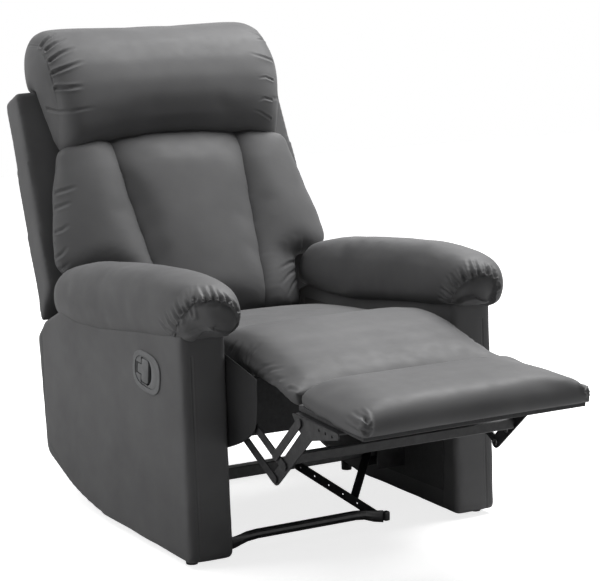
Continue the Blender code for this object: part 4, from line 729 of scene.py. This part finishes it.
def make_back_cushions():
    """The back's centre panel and the two wings that it presses against."""
    rng = np.random.default_rng(23)
    piece = soft_copy("back_centre_panel", "back_centre", 12, -BACK_AHEAD, 0.007, 0.0)
    skin = Skin(piece)
    skin.co[:, 0] += skin.no[:, 0] * PANEL_PRESS
    skin.shift_where(up_the_back(skin.co), CUSHION_TUCK_START, CUSHION_TUCK_END,
                     BACK_UP * CUSHION_TUCK)
    skin.ripple(0.20, 0.0006, rng)
    skin.finish()
    relax(piece.data, CUSHION_EVENING)
    dress(piece, "back", LEATHER, "padded_leatherette", "back_centre_panel", fill=0.8)
    for side, word in SIDES:
        piece = soft_copy(word + "_back_wing", word + "_wing", 10, -BACK_AHEAD, 0.006, 0.0)
        skin = Skin(piece)
        skin.co[:, 0] -= side * np.clip(-side * skin.no[:, 0], 0.0, 1.0) * PANEL_PRESS
        up = up_the_back(skin.co)
        skin.shift_where(up, CUSHION_TUCK_START, CUSHION_TUCK_END, BACK_UP * CUSHION_TUCK)
        # the outer lower tip hangs down behind the arm pillow, and the foot widens below it
        half = side * skin.co[:, 0]
        tip = eased((half - WING_TIP_HALF[0]) / (WING_TIP_HALF[1] - WING_TIP_HALF[0]))
        low = eased((WING_TIP_UP[1] - up) / (WING_TIP_UP[1] - WING_TIP_UP[0]))
        skin.shift(tip * low, -BACK_UP * WING_TIP_DROP)
        below = np.clip((WING_STEP_LOW - up) / (WING_STEP_LOW - WING_STEP_HIGH), 0.0, 1.0)
        wide = np.clip((half - WING_FOOT_HALF) / WING_FOOT_RUN, 0.0, 1.0) * (half < WING_FOOT_EDGE)
        skin.co[:, 0] += side * below * wide * WING_FOOT_WIDEN
        skin.ripple(0.18, 0.0006, rng)
        skin.finish()
        relax(piece.data, CUSHION_EVENING)
        skin.start()
        wrinkles = [skin.traced(path) for path in (WING_WRINKLES if side < 0 else WING_LOW_PUCKERS)]
        skin.refine(wrinkles, FOLD_REACH)
        for path in wrinkles:
            skin.press(path, *WING_WRINKLE, fade="away")
        skin.finish()
        dress(piece, "back", LEATHER, "padded_leatherette", word + "_back_wing", fill=0.8)


# Arm pillows: the gathered cap on each front end, as pixels of the photograph
NEAR_CAP_SEAM = ((175, 341), (174, 334), (176, 326), (182, 316), (188, 309), (193, 303), (205, 301),
                 (216, 300), (227, 302), (236, 308), (241, 318), (242, 327))
FAR_CAP_SEAM = ((451, 305), (453, 296), (457, 289), (465, 282), (474, 277), (484, 274), (491, 275),
                (497, 279), (499, 287), (497, 295))
NEAR_CAP_FOLDS = (
    ((193, 318), (191, 310), (189, 302), (186, 291)), ((196, 300), (195, 292), (194, 286)),
    ((207, 300), (203, 294), (200, 288)), ((213, 299), (210, 292), (208, 286)),
    ((221, 300), (217, 294), (214, 289)), ((228, 301), (224, 296), (220, 292)),
    ((182, 312), (179, 306), (177, 299)), ((176, 329), (170, 322), (165, 311)),
    ((175, 333), (166, 328), (158, 318)), ((180, 321), (176, 314), (172, 306)),
    ((238, 311), (235, 305), (230, 299)), ((241, 320), (238, 316), (233, 313)),
)
FAR_CAP_FOLDS = (
    ((452, 298), (447, 293), (440, 287)), ((455, 291), (450, 284), (446, 276)),
    ((459, 287), (454, 279), (451, 273)), ((466, 282), (463, 275), (460, 268)),
    ((474, 277), (470, 268), (467, 260)), ((479, 276), (476, 267), (473, 259)),
    ((488, 274), (487, 268), (485, 263)), ((495, 277), (494, 271), (491, 266)),
    ((499, 287), (497, 282), (495, 278)), ((451, 303), (444, 300), (437, 296)),
)
NEAR_CAP_LOW = ((238, 333), (230, 336), (222, 334), (213, 331), (200, 333), (186, 339))
FAR_CAP_LOW = ((492, 303), (484, 303), (476, 299), (466, 301), (458, 306))
CAP_RECESS = (0.0, 0.012, 0.002)
NEAR_CAP_FOOT, FAR_CAP_FOOT = (204, 337), (474, 301)   # drawn up and back, clear of the arm's front
CAP_FOOT_REACH = 0.034
CAP_FOOT_MOVE = (0.0, 0.010, 0.018)
PILLOW_SHOULDER, PILLOW_SHOULDER_POWER = 0.006, 6
PILLOW_INNER_LEAN, PILLOW_OUTER_LEAN = 0.6, 0.9        # the ways that its shoulders face
ARM_MIDDLE = (ARM_INNER + ARM_OUTER) / 2
PILLOW_REAR_START, PILLOW_REAR_RUN = 0.260, 0.100
PILLOW_REAR_LEAN = 0.005     # the rear ends lean against the wings
PILLOW_SIDE_DROP = 0.006     # the lower outer edge sits down on the arm's side
PILLOW_SIDE_FACING = 0.2
PILLOW_SIDE_START, PILLOW_SIDE_END = 0.15, 0.75
CAP_SEAM_DEPTH, CAP_SEAM_DIP = 0.0034, 0.0030
CAP_FOLD_WIDTH, CAP_FOLD_DEPTH, CAP_DEEP_FOLD, CAP_FOLD_RIDGE = 0.0036, 0.0054, 0.0080, 0.5
CAP_PUCKERS, CAP_PUCKER_LENGTH, CAP_PUCKER_WIDTH, CAP_PUCKER_DEPTH = 9, 0.020, 0.0022, 0.0018
CAP_PUCKERS_TOWARDS = (0.32, 0.0, 0.56)


def make_arm_pillows():
    """The rolls on the arms, gathered round a recessed cap at the front."""
    for side, word in SIDES:
        rng = np.random.default_rng(31 + side)
        piece = soft_copy(word + "_arm_pillow", word + "_pillow", 10, DOWN, 0.008, 0.015)
        skin = Skin(piece)
        seam, folds = (NEAR_CAP_SEAM, NEAR_CAP_FOLDS) if side < 0 else (FAR_CAP_SEAM, FAR_CAP_FOLDS)
        outline = (*seam, *(NEAR_CAP_LOW if side < 0 else FAR_CAP_LOW))
        seam = rounded_path(skin.traced(seam))
        folds = [skin.traced(fold) for fold in folds]
        skin.refine([seam, *folds], FOLD_REACH)
        for lean in (-PILLOW_INNER_LEAN, PILLOW_OUTER_LEAN):
            skin.push_facing((side * lean, 0.0, 1.0), PILLOW_SHOULDER, PILLOW_SHOULDER_POWER)
        inner = side * skin.co[:, 0] < ARM_MIDDLE
        skin.shift_where((skin.co[:, 1] - PILLOW_REAR_START) * inner, 0.0, PILLOW_REAR_RUN,
                         (-side * PILLOW_REAR_LEAN, 0.0, 0.0))
        outward = side * skin.no[:, 0] > PILLOW_SIDE_FACING
        skin.shift_where(-skin.no[:, 2] * outward, PILLOW_SIDE_START, PILLOW_SIDE_END,
                         (0.0, 0.0, -PILLOW_SIDE_DROP))
        skin.ripple(0.12, 0.0005, rng)
        foot = NEAR_CAP_FOOT if side < 0 else FAR_CAP_FOOT
        skin.pull(skin.traced((foot, foot))[0], CAP_FOOT_REACH, CAP_FOOT_MOVE)
        skin.recess(outline, CAP_RECESS)
        sew(skin, [seam], CAP_SEAM_DEPTH, CAP_SEAM_DIP)
        for n, fold in enumerate(folds):
            depth = CAP_DEEP_FOLD if n % 3 == 0 else CAP_FOLD_DEPTH
            skin.press(fold, CAP_FOLD_WIDTH, depth, CAP_FOLD_RIDGE, "away")
        out, ahead, up = CAP_PUCKERS_TOWARDS
        skin.gather(seam, (side * out, ahead, up), CAP_PUCKERS, CAP_PUCKER_LENGTH,
                    CAP_PUCKER_WIDTH, CAP_PUCKER_DEPTH, rng)
        skin.finish()
        dress(piece, "base", LEATHER, "padded_leatherette", word + "_arm_pillow", fill=0.8)


# Calf rest and foot rest: folds at their left edges, as pixels of the photograph
CALF_FOLDS = (
    ((236, 358), (239, 350), (243, 341)), ((245, 361), (247, 353), (252, 343)),
    ((249, 362), (251, 354), (262, 342)), ((256, 373), (262, 367), (276, 363)),
    ((262, 376), (271, 370), (286, 367)), ((267, 382), (275, 379), (289, 378)),
    ((231, 350), (234, 345), (237, 340)), ((289, 388), (293, 389), (299, 392)),
)
FOOT_CORNER_FOLDS = (
    ((367, 431), (358, 424), (346, 416)), ((368, 426), (363, 419), (352, 411)),
    ((364, 433), (354, 429), (341, 423)), ((367, 421), (365, 416), (359, 409)),
)
CALF_NEAR_FOLD, CALF_FAR_FOLD = (0.0040, 0.0028, 0.3), (0.0040, 0.0026, 0.3)
FOOT_NEAR_FOLD, FOOT_FAR_FOLD = (0.0040, 0.0055, 0.6), (0.0040, 0.0050, 0.6)
CALF_EVENING = 14


def fold_both_sides(skin, pixels, near_shape, far_shape):
    """A fold seen in the photograph, and its like on the chair's other side."""
    path = skin.traced(pixels)
    skin.press(path, *near_shape, fade="away")
    skin.press(skin.laid(mirrored(path)), *far_shape, fade="away")


def make_seat_and_rests():
    """The seat, the calf rest that bends down from it, and the foot rest."""
    rng = np.random.default_rng(47)
    seat = soft_copy("seat_cushion", "seat", 8, DOWN, 0.006, 0.004)
    skin = Skin(seat)
    skin.ripple(0.26, 0.0006, rng)
    skin.finish()
    dress(seat, "base", LEATHER, "padded_leatherette", "seat_cushion", fill=0.7)

    calf = soft_copy("calf_pad", "calf_rest", 7, DOWN, 0.005, 0.0)
    relax(calf.data, CALF_EVENING)
    skin = Skin(calf)
    skin.ripple(0.26, 0.0004, rng)
    for fold in CALF_FOLDS:
        fold_both_sides(skin, fold, CALF_NEAR_FOLD, CALF_FAR_FOLD)
    skin.finish()
    paint(calf, LEATHER)
    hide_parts("calf_pad")
    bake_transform(calf)

    foot = soft_copy("foot_pad", "foot_rest", 18, DOWN, 0.005, 0.0)
    skin = Skin(foot)
    skin.ripple(0.26, 0.0005, rng)
    for fold in FOOT_CORNER_FOLDS:
        fold_both_sides(skin, fold, FOOT_NEAR_FOLD, FOOT_FAR_FOLD)
    skin.finish()
    dress(foot, "footrest", LEATHER, "padded_leatherette", "foot_pad", fill=0.7)


# Arm box outline seen from the side: shares of the arm's depth and of its height
ARM_OUTLINE_SHARES = (
    (0.0338, 0.0), (0.0, 1.0), (-0.170, 0.973), (-0.322, 0.948), (-0.527, 0.905), (-0.700, 0.896),
    (-0.822, 0.914), (-0.880, 0.904), (-0.950, 0.857), (-1.0, 0.768), (-0.958, 0.217),
    (-0.940, 0.182), (-0.857, 0.131), (-0.784, 0.086), (-0.708, 0.055), (-0.645, 0.035),
    (-0.540, 0.012),
)
# Seams of an arm cover, for the side where x is positive
ARM_SEAMS = (
    ((0.352, -0.2400, 0.430), (0.352, -0.2420, 0.300), (0.352, -0.2500, 0.014)),
    ((0.2745, -0.1960, 0.430), (0.2745, -0.1960, 0.014)),
    ((0.375, 0.4500, 0.400), (0.375, 0.4400, 0.130), (0.375, 0.3200, 0.058)),
)
ARM_TOP_SHARES = 6           # this many of the outline's points lie under the pillow
ARM_TOP_PADDING = 0.013
ARM_EDGE_ROUND = 0.004
ARM_FRONT_ROUND = 0.006
ARM_FRONT_ZONE = 0.02        # edges this near the front plane get the front's radius
ARM_PADDING = 0.0008         # foam under the cover, over the frame's corners
ARM_SEAM_DEPTH, ARM_SEAM_DIP = 0.0014, 0.0008
ARM_RIPPLE_STRETCH = (1.0, 2.2, 0.6)
SHARP_EDGE = math.radians(50)
BEVEL_SEGMENTS = 4
# The latch's place on the left arm, and the room that it takes in the arm's cover
LATCH_MIDDLE_Y, LATCH_MIDDLE_Z = -0.0775, 0.374
LATCH_TILT = math.radians(-6.0)
LATCH_WAY_HALF_LENGTH, LATCH_WAY_HALF_HEIGHT = 0.0545, 0.0355
LATCH_WAY_DEPTH = 0.034
LATCH_SQUARENESS = 2.8


def prism(outline, x_low, x_high, name):
    """A closed solid between two planes across X, from (y, z) points."""
    bm = bmesh.new()
    near = [bm.verts.new((x_low, y, z)) for y, z in outline]
    far = [bm.verts.new((x_high, y, z)) for y, z in outline]
    bm.faces.new(near)
    bm.faces.new(far[::-1])
    for i in range(len(outline)):
        j = (i + 1) % len(outline)
        bm.faces.new((near[i], far[i], far[j], near[j]))
    bmesh.ops.recalc_face_normals(bm, faces=bm.faces)
    return put(name, mesh_from(bm, name))


def bevelled(piece, radius, front_radius, front_y):
    """Rounds a solid's long edges; those at its front get a radius of their own."""
    bm = bmesh.new()
    bm.from_mesh(piece.data)
    for wanted, width in ((True, front_radius), (False, radius)):
        edges = []
        for edge in bm.edges:
            turn = edge.calc_face_angle(0.0)
            at_front = all(v.co.y < front_y for v in edge.verts)
            if turn > SHARP_EDGE and at_front == wanted:
                edges.append(edge)
        bmesh.ops.bevel(bm, geom=edges, offset=width, segments=BEVEL_SEGMENTS, affect="EDGES",
                        clamp_overlap=True)
    bm.to_mesh(piece.data)
    bm.free()


def make_arm_covers():
    """The arms' side boxes in one upholstered skin, with the latch's opening on the left."""
    height = ARM_HEIGHT - ARM_BOTTOM
    outline = []
    for i, (f, z) in enumerate(ARM_OUTLINE_SHARES):
        rise = ARM_TOP_PADDING if 1 <= i <= ARM_TOP_SHARES else 0.0
        outline.append((ARM_FRONT_Y - f * ARM_DEPTH, ARM_BOTTOM + z * height + rise))
    for side, word in SIDES:
        rng = np.random.default_rng(61 + side)
        low, high = sorted((side * ARM_INNER, side * ARM_OUTER))
        piece = prism(outline, low, high, word + "_arm")
        bevelled(piece, ARM_EDGE_ROUND, ARM_FRONT_ROUND, ARM_FRONT_Y + ARM_FRONT_ZONE)
        softened(piece, PANEL_CELL, 2)
        skin = Skin(piece)
        seams = [skin.laid([(side * x, y, z) for x, y, z in line]) for line in ARM_SEAMS]
        skin.refine(seams)
        skin.co += skin.no * ARM_PADDING
        skin.ripple(0.15, 0.0005, rng, ARM_RIPPLE_STRETCH)
        sew(skin, seams, ARM_SEAM_DEPTH, ARM_SEAM_DIP)
        if side < 0:
            open_latch_way(skin)
        skin.finish()
        dress(piece, "base", LEATHER_SIDE, "grey_leather", word + "_arm_cover", fill=0.9)


def open_latch_way(skin):
    """Sinks the cover behind the latch's cup."""
    along = -(skin.co[:, 1] - LATCH_MIDDLE_Y)
    up = skin.co[:, 2] - LATCH_MIDDLE_Z
    a = along * math.cos(LATCH_TILT) + up * math.sin(LATCH_TILT)
    b = up * math.cos(LATCH_TILT) - along * math.sin(LATCH_TILT)
    reach = (np.abs(a / LATCH_WAY_HALF_LENGTH) ** LATCH_SQUARENESS
             + np.abs(b / LATCH_WAY_HALF_HEIGHT) ** LATCH_SQUARENESS)
    inside = (reach < 1.0) & (skin.co[:, 0] < -(ARM_OUTER - 0.02))
    skin.co[inside, 0] += LATCH_WAY_DEPTH


# Latch: the plate round the lever, in the latch's own frame (along the arm, up)
PLATE_HALF_LENGTH, PLATE_HALF_HEIGHT = 0.0500, 0.0310
PLATE_OUTER_X, PLATE_INNER_X = -0.3776, -0.3725
FACE_OUTER_X, FACE_INNER_X = -0.3772, -0.3692
FACE_START = -0.0405         # the tab ends here, with room to turn about its pivot
# The plate's window: the lever's outline with a slit round it, and finger room beyond its end
WINDOW_SLIT = 0.0018
TAB_START, BODY_START, BODY_END, FINGER_END = -0.0430, -0.0230, 0.0070, 0.0210
TAB_HALF, BODY_HALF, FINGER_HALF = 0.0100, 0.0250, 0.0190


def latch_place(x, along, up):
    """A point of the latch's tilted frame, on the left arm's outer wall."""
    forward = along * math.cos(LATCH_TILT) - up * math.sin(LATCH_TILT)
    rise = along * math.sin(LATCH_TILT) + up * math.cos(LATCH_TILT)
    return Vector((x, LATCH_MIDDLE_Y - forward, LATCH_MIDDLE_Z + rise))


def make_latch_plate():
    """A moulded plate that closes the cup round the lever."""
    tab, body = TAB_HALF + WINDOW_SLIT, BODY_HALF + WINDOW_SLIT
    start, step = TAB_START - WINDOW_SLIT, BODY_START - WINDOW_SLIT
    half = [(step, tab), (step, body), (BODY_END, body), (FINGER_END - 0.006, FINGER_HALF + 0.003),
            (FINGER_END, FINGER_HALF - 0.005), (FINGER_END + 0.002, 0.004)]
    window = [(start, -tab), *[(a, -b) for a, b in half], *half[::-1], (start, tab)]
    rim = []
    for along, up in window:
        angle = math.atan2(up / PLATE_HALF_HEIGHT, along / PLATE_HALF_LENGTH)
        c, s = math.cos(angle), math.sin(angle)
        power = 2 / LATCH_SQUARENESS
        rim.append((math.copysign(abs(c) ** power, c) * PLATE_HALF_LENGTH,
                    math.copysign(abs(s) ** power, s) * PLATE_HALF_HEIGHT))
    bm = bmesh.new()
    rings = [[bm.verts.new(latch_place(x, *p)) for p in points]
             for x, points in ((PLATE_OUTER_X, rim), (PLATE_OUTER_X, window),
                               (PLATE_INNER_X, window), (PLATE_INNER_X, rim))]
    count = len(window)
    for k in range(4):
        a, b = rings[k], rings[(k + 1) % 4]
        for i in range(count):
            j = (i + 1) % count
            bm.faces.new((a[i], a[j], b[j], b[i]))
    bmesh.ops.recalc_face_normals(bm, faces=bm.faces)
    moulded(put("latch_plate", mesh_from(bm, "latch_plate")))
    dress(bpy.data.objects["latch_plate"], "base", GREY_PLASTIC, "grey_plastic")


def moulded(piece, radius=0.0006):
    """Small rounded edges, as on a moulding."""
    soften = piece.modifiers.new("moulded_edges", "BEVEL")
    soften.width = radius
    soften.segments = 2
    settle(piece)
    piece.data.shade_smooth()
    piece.data.set_sharp_from_angle(angle=math.radians(40))


def make_lever_face():
    """The T-shaped face of the latch's lever, flush with the plate round it."""
    half = [(FACE_START, TAB_HALF), (BODY_START, TAB_HALF), (BODY_START, BODY_HALF - 0.004),
            (BODY_START + 0.004, BODY_HALF), (BODY_END - 0.004, BODY_HALF),
            (BODY_END, BODY_HALF - 0.006)]
    outline = [latch_place(0.0, a, -b).yz for a, b in half]
    outline += [latch_place(0.0, a, b).yz for a, b in half[::-1]]
    piece = prism(outline, FACE_OUTER_X, FACE_INNER_X, "lever_face")
    moulded(piece, 0.0009)
    dress(piece, "latch", GREY_PLASTIC, "grey_plastic", "latch_lever")


def make_back_cover():
    """The shell round the back's wooden frame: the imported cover's outer form, closed."""
    bm = bmesh.new()
    for p in positions(NODES["back_cover"].data):
        bm.verts.new(p)
    made = bmesh.ops.convex_hull(bm, input=bm.verts)
    bmesh.ops.delete(bm, geom=list({*made["geom_interior"], *made["geom_unused"]}), context="VERTS")
    piece = softened(put("back_shell", mesh_from(bm, "back_shell")), CUSHION_CELL, 2)
    skin = Skin(piece)
    skin.ripple(0.18, 0.0008, np.random.default_rng(71))
    skin.finish()
    dress(piece, "back", LEATHER_SIDE, "grey_leather", "back_cover", fill=0.9)


# Cloth panels: the apron under the seat, the curtains beside the calf rest, the linings

def cloth_panel(name, place_at, columns, rows, thickness):
    """A thin sheet over a grid of (across, down) shares, thickened to its cloth."""
    bm = bmesh.new()
    grid = [[bm.verts.new(place_at(i / columns, j / rows)) for j in range(rows + 1)]
            for i in range(columns + 1)]
    for i in range(columns):
        for j in range(rows):
            bm.faces.new((grid[i][j], grid[i + 1][j], grid[i + 1][j + 1], grid[i][j + 1]))
    piece = put(name, mesh_from(bm, name))
    thick = piece.modifiers.new("cloth_thickness", "SOLIDIFY")
    thick.thickness = thickness
    thick.offset = 0.0
    settle(piece)
    piece.data.shade_smooth()
    return piece


def wander(a, b, phase):
    """A smooth irregular wave of two shares, between about -1 and 1."""
    return 0.6 * math.sin(9.0 * a + 4.0 * b + phase) + 0.4 * math.sin(17.0 * a - 6.0 * b + 2 * phase)


APRON_HALF = 0.2575
APRON_TOP_Z = 0.3600
APRON_DROP = 0.122
APRON_CORNER = 0.030
APRON_FACE_Y = -0.1828
CLOTH_THICKNESS = 0.0010


def make_apron():
    """Black cloth over the seat frame's front rail that hangs below it."""
    def place_at(across, down):
        x = (across * 2 - 1) * APRON_HALF
        edge = max(0.0, abs(x) - (APRON_HALF - APRON_CORNER)) / APRON_CORNER
        drop = APRON_DROP - APRON_CORNER * (1 - math.sqrt(max(0.0, 1 - edge * edge)))
        hang = max(0.0, down - 0.35)
        y = APRON_FACE_Y - 0.0030 * hang * (1 + wander(across, down, 0.6))
        return (x, y, APRON_TOP_Z - drop * down)

    piece = cloth_panel("seat_front_apron", place_at, 60, 24, CLOTH_THICKNESS)
    dress(piece, "base", LINING, "black_lining", "seat_apron")


CURTAIN_X = -0.2733          # between the arm's inner wall and the links
# The curtain's lower edge on the left side, from the seat forward, as pixels of the photograph
CURTAIN_EDGE = ((222, 449), (234, 446), (246, 441), (254, 434), (257, 423), (257, 400))
CURTAIN_TOP = ((222, 352), (230, 358), (238, 364), (246, 371), (252, 376), (257, 380))


def on_side_plane(pixel, x):
    """Where the photograph's line of sight through a pixel meets a plane across X."""
    ray = photo_ray(*pixel)
    return CAMERA_PLACE + ray * ((x - CAMERA_PLACE.x) / ray.x)


def make_curtains():
    """Leatherette curtains that hang from the calf rest's sides, beside the links, in darker leather
    that is painted shade from the calf rest above them.
    """
    low = np.array([tuple(on_side_plane(p, CURTAIN_X)) for p in CURTAIN_EDGE])
    top = np.array([tuple(on_side_plane(p, CURTAIN_X)) for p in CURTAIN_TOP])
    low, top = rounded_path(low), rounded_path(top)
    for side, word in SIDES:
        def place_at(across, down):
            i = across * (len(low) - 1)
            k = min(int(i), len(low) - 2)
            a = top[k] + (top[k + 1] - top[k]) * (i - k)
            b = low[k] + (low[k + 1] - low[k]) * (i - k)
            p = a + (b - a) * down
            sway = 0.0005 * wander(across, down, 1.7)
            return (-side * (p[0] + sway), p[1], p[2])

        piece = cloth_panel(word + "_calf_curtain", place_at, 40, 24, 0.0008)
        # the curtain's darker leather is painted shade
        paint(piece, CURTAIN_PAINTED_SHADE_LEATHER)
        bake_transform(piece)


CLOTH_GRID = 0.016


def woven_copy(solid, name, wave, material):
    """A thin cloth from its packed form: cut into a fine grid and waved out of its plane."""
    bm = bmesh.new()
    bm.from_mesh(NODES[solid].data)
    co = positions(NODES[solid].data)
    low, high = co.min(0), co.max(0)
    thin = int(np.argmin(high - low))
    for axis in range(3):
        if axis == thin:
            continue
        cuts = int((high[axis] - low[axis]) / CLOTH_GRID)
        for k in range(1, cuts):
            place, normal = Vector(low), Vector((0.0, 0.0, 0.0))
            place[axis] += (high[axis] - low[axis]) * k / cuts
            normal[axis] = 1.0
            bmesh.ops.bisect_plane(bm, geom=[*bm.verts, *bm.edges, *bm.faces], dist=1e-6,
                                   plane_co=place, plane_no=normal)
    a, b = [axis for axis in range(3) if axis != thin]
    size = high - low
    for v in bm.verts:
        v.co[thin] += wave * wander((v.co[a] - low[a]) / size[a] * 1.6,
                                    (v.co[b] - low[b]) / size[b] * 1.3, 0.9)
    piece = put(name, mesh_from(bm, name))
    piece.data.shade_smooth()
    piece.data.set_sharp_from_angle(angle=SMOOTH_ANGLE)
    paint(piece, material)
    flat = (float(size[a]), float(size[b]))
    area = sum(face.area for face in piece.data.polygons) / 2
    return piece, {"flat": flat, "area": min(area, flat[0] * flat[1])}


def make_cloths():
    """Arm linings, the skirt at the rear, and the straps across the back's frame."""
    for _, word in SIDES:
        piece, cut = woven_copy(word + "_arm_lining", word + "_arm_cloth", 0.0002, LINING)
        dress(piece, "base", LINING, "black_lining", word + "_arm_lining")
    piece, cut = woven_copy("rear_skirt", "rear_panel", 0.0010, LEATHER_SIDE)
    dress(piece, "base", LEATHER_SIDE, "grey_leather", "rear_skirt")
    for word in ("lower", "upper"):
        piece, cut = woven_copy(word + "_back_strap", word + "_webbing", 0.0004, WEBBING)
        dress(piece, "back", WEBBING, "elastic_webbing", word + "_back_strap")


# Rivets: (forward, height) of the linkage's pins, and the body that carries each head
PIN_HEADS = (
    ((-0.0007, 0.3504), "base"), ((-0.0373, 0.3163), "base"), ((0.2123, 0.2414), "lift_links"),
    ((0.1757, 0.2073), "lift_links"), ((0.3030, 0.3260), "footrest"),
    ((0.2763, 0.3397), "footrest"),
)
RIVET_RADIUS, RIVET_RISE = 0.0068, 0.0016
RIVET_SEAT_X = 0.2612        # where the heads sit, inward of the links


def make_rivets():
    """Domed heads over the pins, on the inner faces of both linkages."""
    for side, word in SIDES:
        for n, ((forward, height), body) in enumerate(PIN_HEADS):
            bm = bmesh.new()
            bmesh.ops.create_uvsphere(bm, u_segments=20, v_segments=10, radius=1.0)
            turn = Matrix.Rotation(math.radians(90), 4, "Y")
            size = Matrix.Diagonal((RIVET_RISE, RIVET_RADIUS, RIVET_RADIUS, 1.0))
            bm.transform(Matrix.Translation((side * RIVET_SEAT_X, ARM_FRONT_Y - forward, height))
                         @ size @ turn)
            piece = put("%s_rivet_%d" % (word, n + 1), mesh_from(bm, "rivet"))
            piece.data.shade_smooth()
            dress(piece, body, ZINC, "black_steel")


# Studio

WHITE = (1.0, 1.0, 1.0, 1.0)
FLOOR_HALF = 6.0
FLOOR_TONES = ((0.80, 0.80, 0.80), (0.84, 0.84, 0.84))
FLOOR_ROUGHNESS = 0.9
FLOOR_LIFT = 0.79            # how much the floor is brightened for the camera
FLOOR_FADE = (0.9, 2.4)      # from here to here it brightens to pure white


def make_floor():
    bm = bmesh.new()
    corners = ((-1, -1), (1, -1), (1, 1), (-1, 1))
    bm.faces.new([bm.verts.new((x * FLOOR_HALF, y * FLOOR_HALF, 0.0)) for x, y in corners])
    floor = put("studio_floor", mesh_from(bm, "studio_floor"))
    material = bpy.data.materials.new("pale_floor")
    tree, shader = nodes_of(material)
    tree.links.new(shade_between(tree, ramp(tree, noise(tree, 1.5, 2.0), 0.0, 1.0), *FLOOR_TONES),
                   shader.inputs["Base Color"])
    shader.inputs["Roughness"].default_value = FLOOR_ROUGHNESS
    output = next(n for n in tree.nodes if n.type == "OUTPUT_MATERIAL")
    path = node(tree, "LightPath")
    distance = node(tree, "VectorMath", {0: object_coordinates(tree)}, operation="LENGTH")
    fade = ramp(tree, distance.outputs["Value"], FLOOR_LIFT, 1.0, *FLOOR_FADE)
    strength = node(tree, "Math", {0: path.outputs["Is Camera Ray"], 1: fade}, operation="MULTIPLY")
    lift = node(tree, "Emission", {"Color": WHITE, "Strength": strength.outputs["Value"]})
    both = node(tree, "AddShader", {0: shader.outputs["BSDF"], 1: lift.outputs["Emission"]})
    tree.links.new(both.outputs["Shader"], output.inputs["Surface"])
    paint(floor, material)


WORLD_LEVEL = 0.06


def make_world():
    world = bpy.data.worlds.new("white_studio")
    SCENE.world = world
    world.use_nodes = True
    tree = world.node_tree
    tree.nodes.clear()
    plain, white = (node(tree, "Background", {"Color": WHITE, "Strength": level})
                    for level in (WORLD_LEVEL, 1.0))
    path = node(tree, "LightPath")
    seen = path.outputs["Is Camera Ray"]
    for name in ("Is Glossy Ray", "Is Transmission Ray"):
        seen = node(tree, "Math", {0: seen, 1: path.outputs[name]},
                    operation="MAXIMUM").outputs["Value"]
    mix = node(tree, "MixShader", {"Fac": seen, 1: plain.outputs["Background"],
                                   2: white.outputs["Background"]})
    node(tree, "OutputWorld", {"Surface": mix.outputs["Shader"]})


def area_light(name, place, target, size, power):
    data = bpy.data.lights.new(name, "AREA")
    data.shape = "RECTANGLE"
    data.size, data.size_y = size
    data.energy = power
    lamp = bpy.data.objects.new(name, data)
    lamp.location = place
    lamp.rotation_mode = "QUATERNION"
    lamp.rotation_quaternion = (Vector(target) - Vector(place)).to_track_quat("-Z", "Y")
    SCENE.collection.objects.link(lamp)


def make_studio():
    SCENE.view_settings.view_transform = "Standard"
    make_floor()
    make_world()
    area_light("overhead_right", (1.6, 0.4, 3.1), (0.1, 0.0, 0.5), (1.8, 1.8), 138.0)
    area_light("overhead_left", (-1.7, 1.0, 2.8), (0.0, 0.0, 0.5), (1.6, 1.6), 28.0)
    area_light("left_side", (-3.4, 0.9, 0.9), (0.0, 0.0, 0.4), (1.4, 1.4), 18.0)


def make_camera():
    data = bpy.data.cameras.new("photo_camera")
    data.sensor_width = SENSOR_WIDTH
    data.lens = LENS
    data.clip_start, data.clip_end = 0.1, 50.0
    camera = bpy.data.objects.new("photo_camera", data)
    turn = Matrix((CAMERA_RIGHT, CAMERA_UP, CAMERA_BACK)).transposed()
    camera.matrix_world = Matrix.Translation(CAMERA_PLACE) @ turn.to_4x4()
    SCENE.collection.objects.link(camera)
    SCENE.camera = camera


make_camera()
make_studio()
paint_carried_nodes()
make_headrest()
make_back_cushions()
make_arm_pillows()
make_seat_and_rests()
make_arm_covers()
make_latch_plate()
make_lever_face()
make_back_cover()
make_apron()
make_curtains()
make_cloths()
make_rivets()
paint(NODES["foot_board"], LINING)
paint(NODES["seat_frame"], LINING)
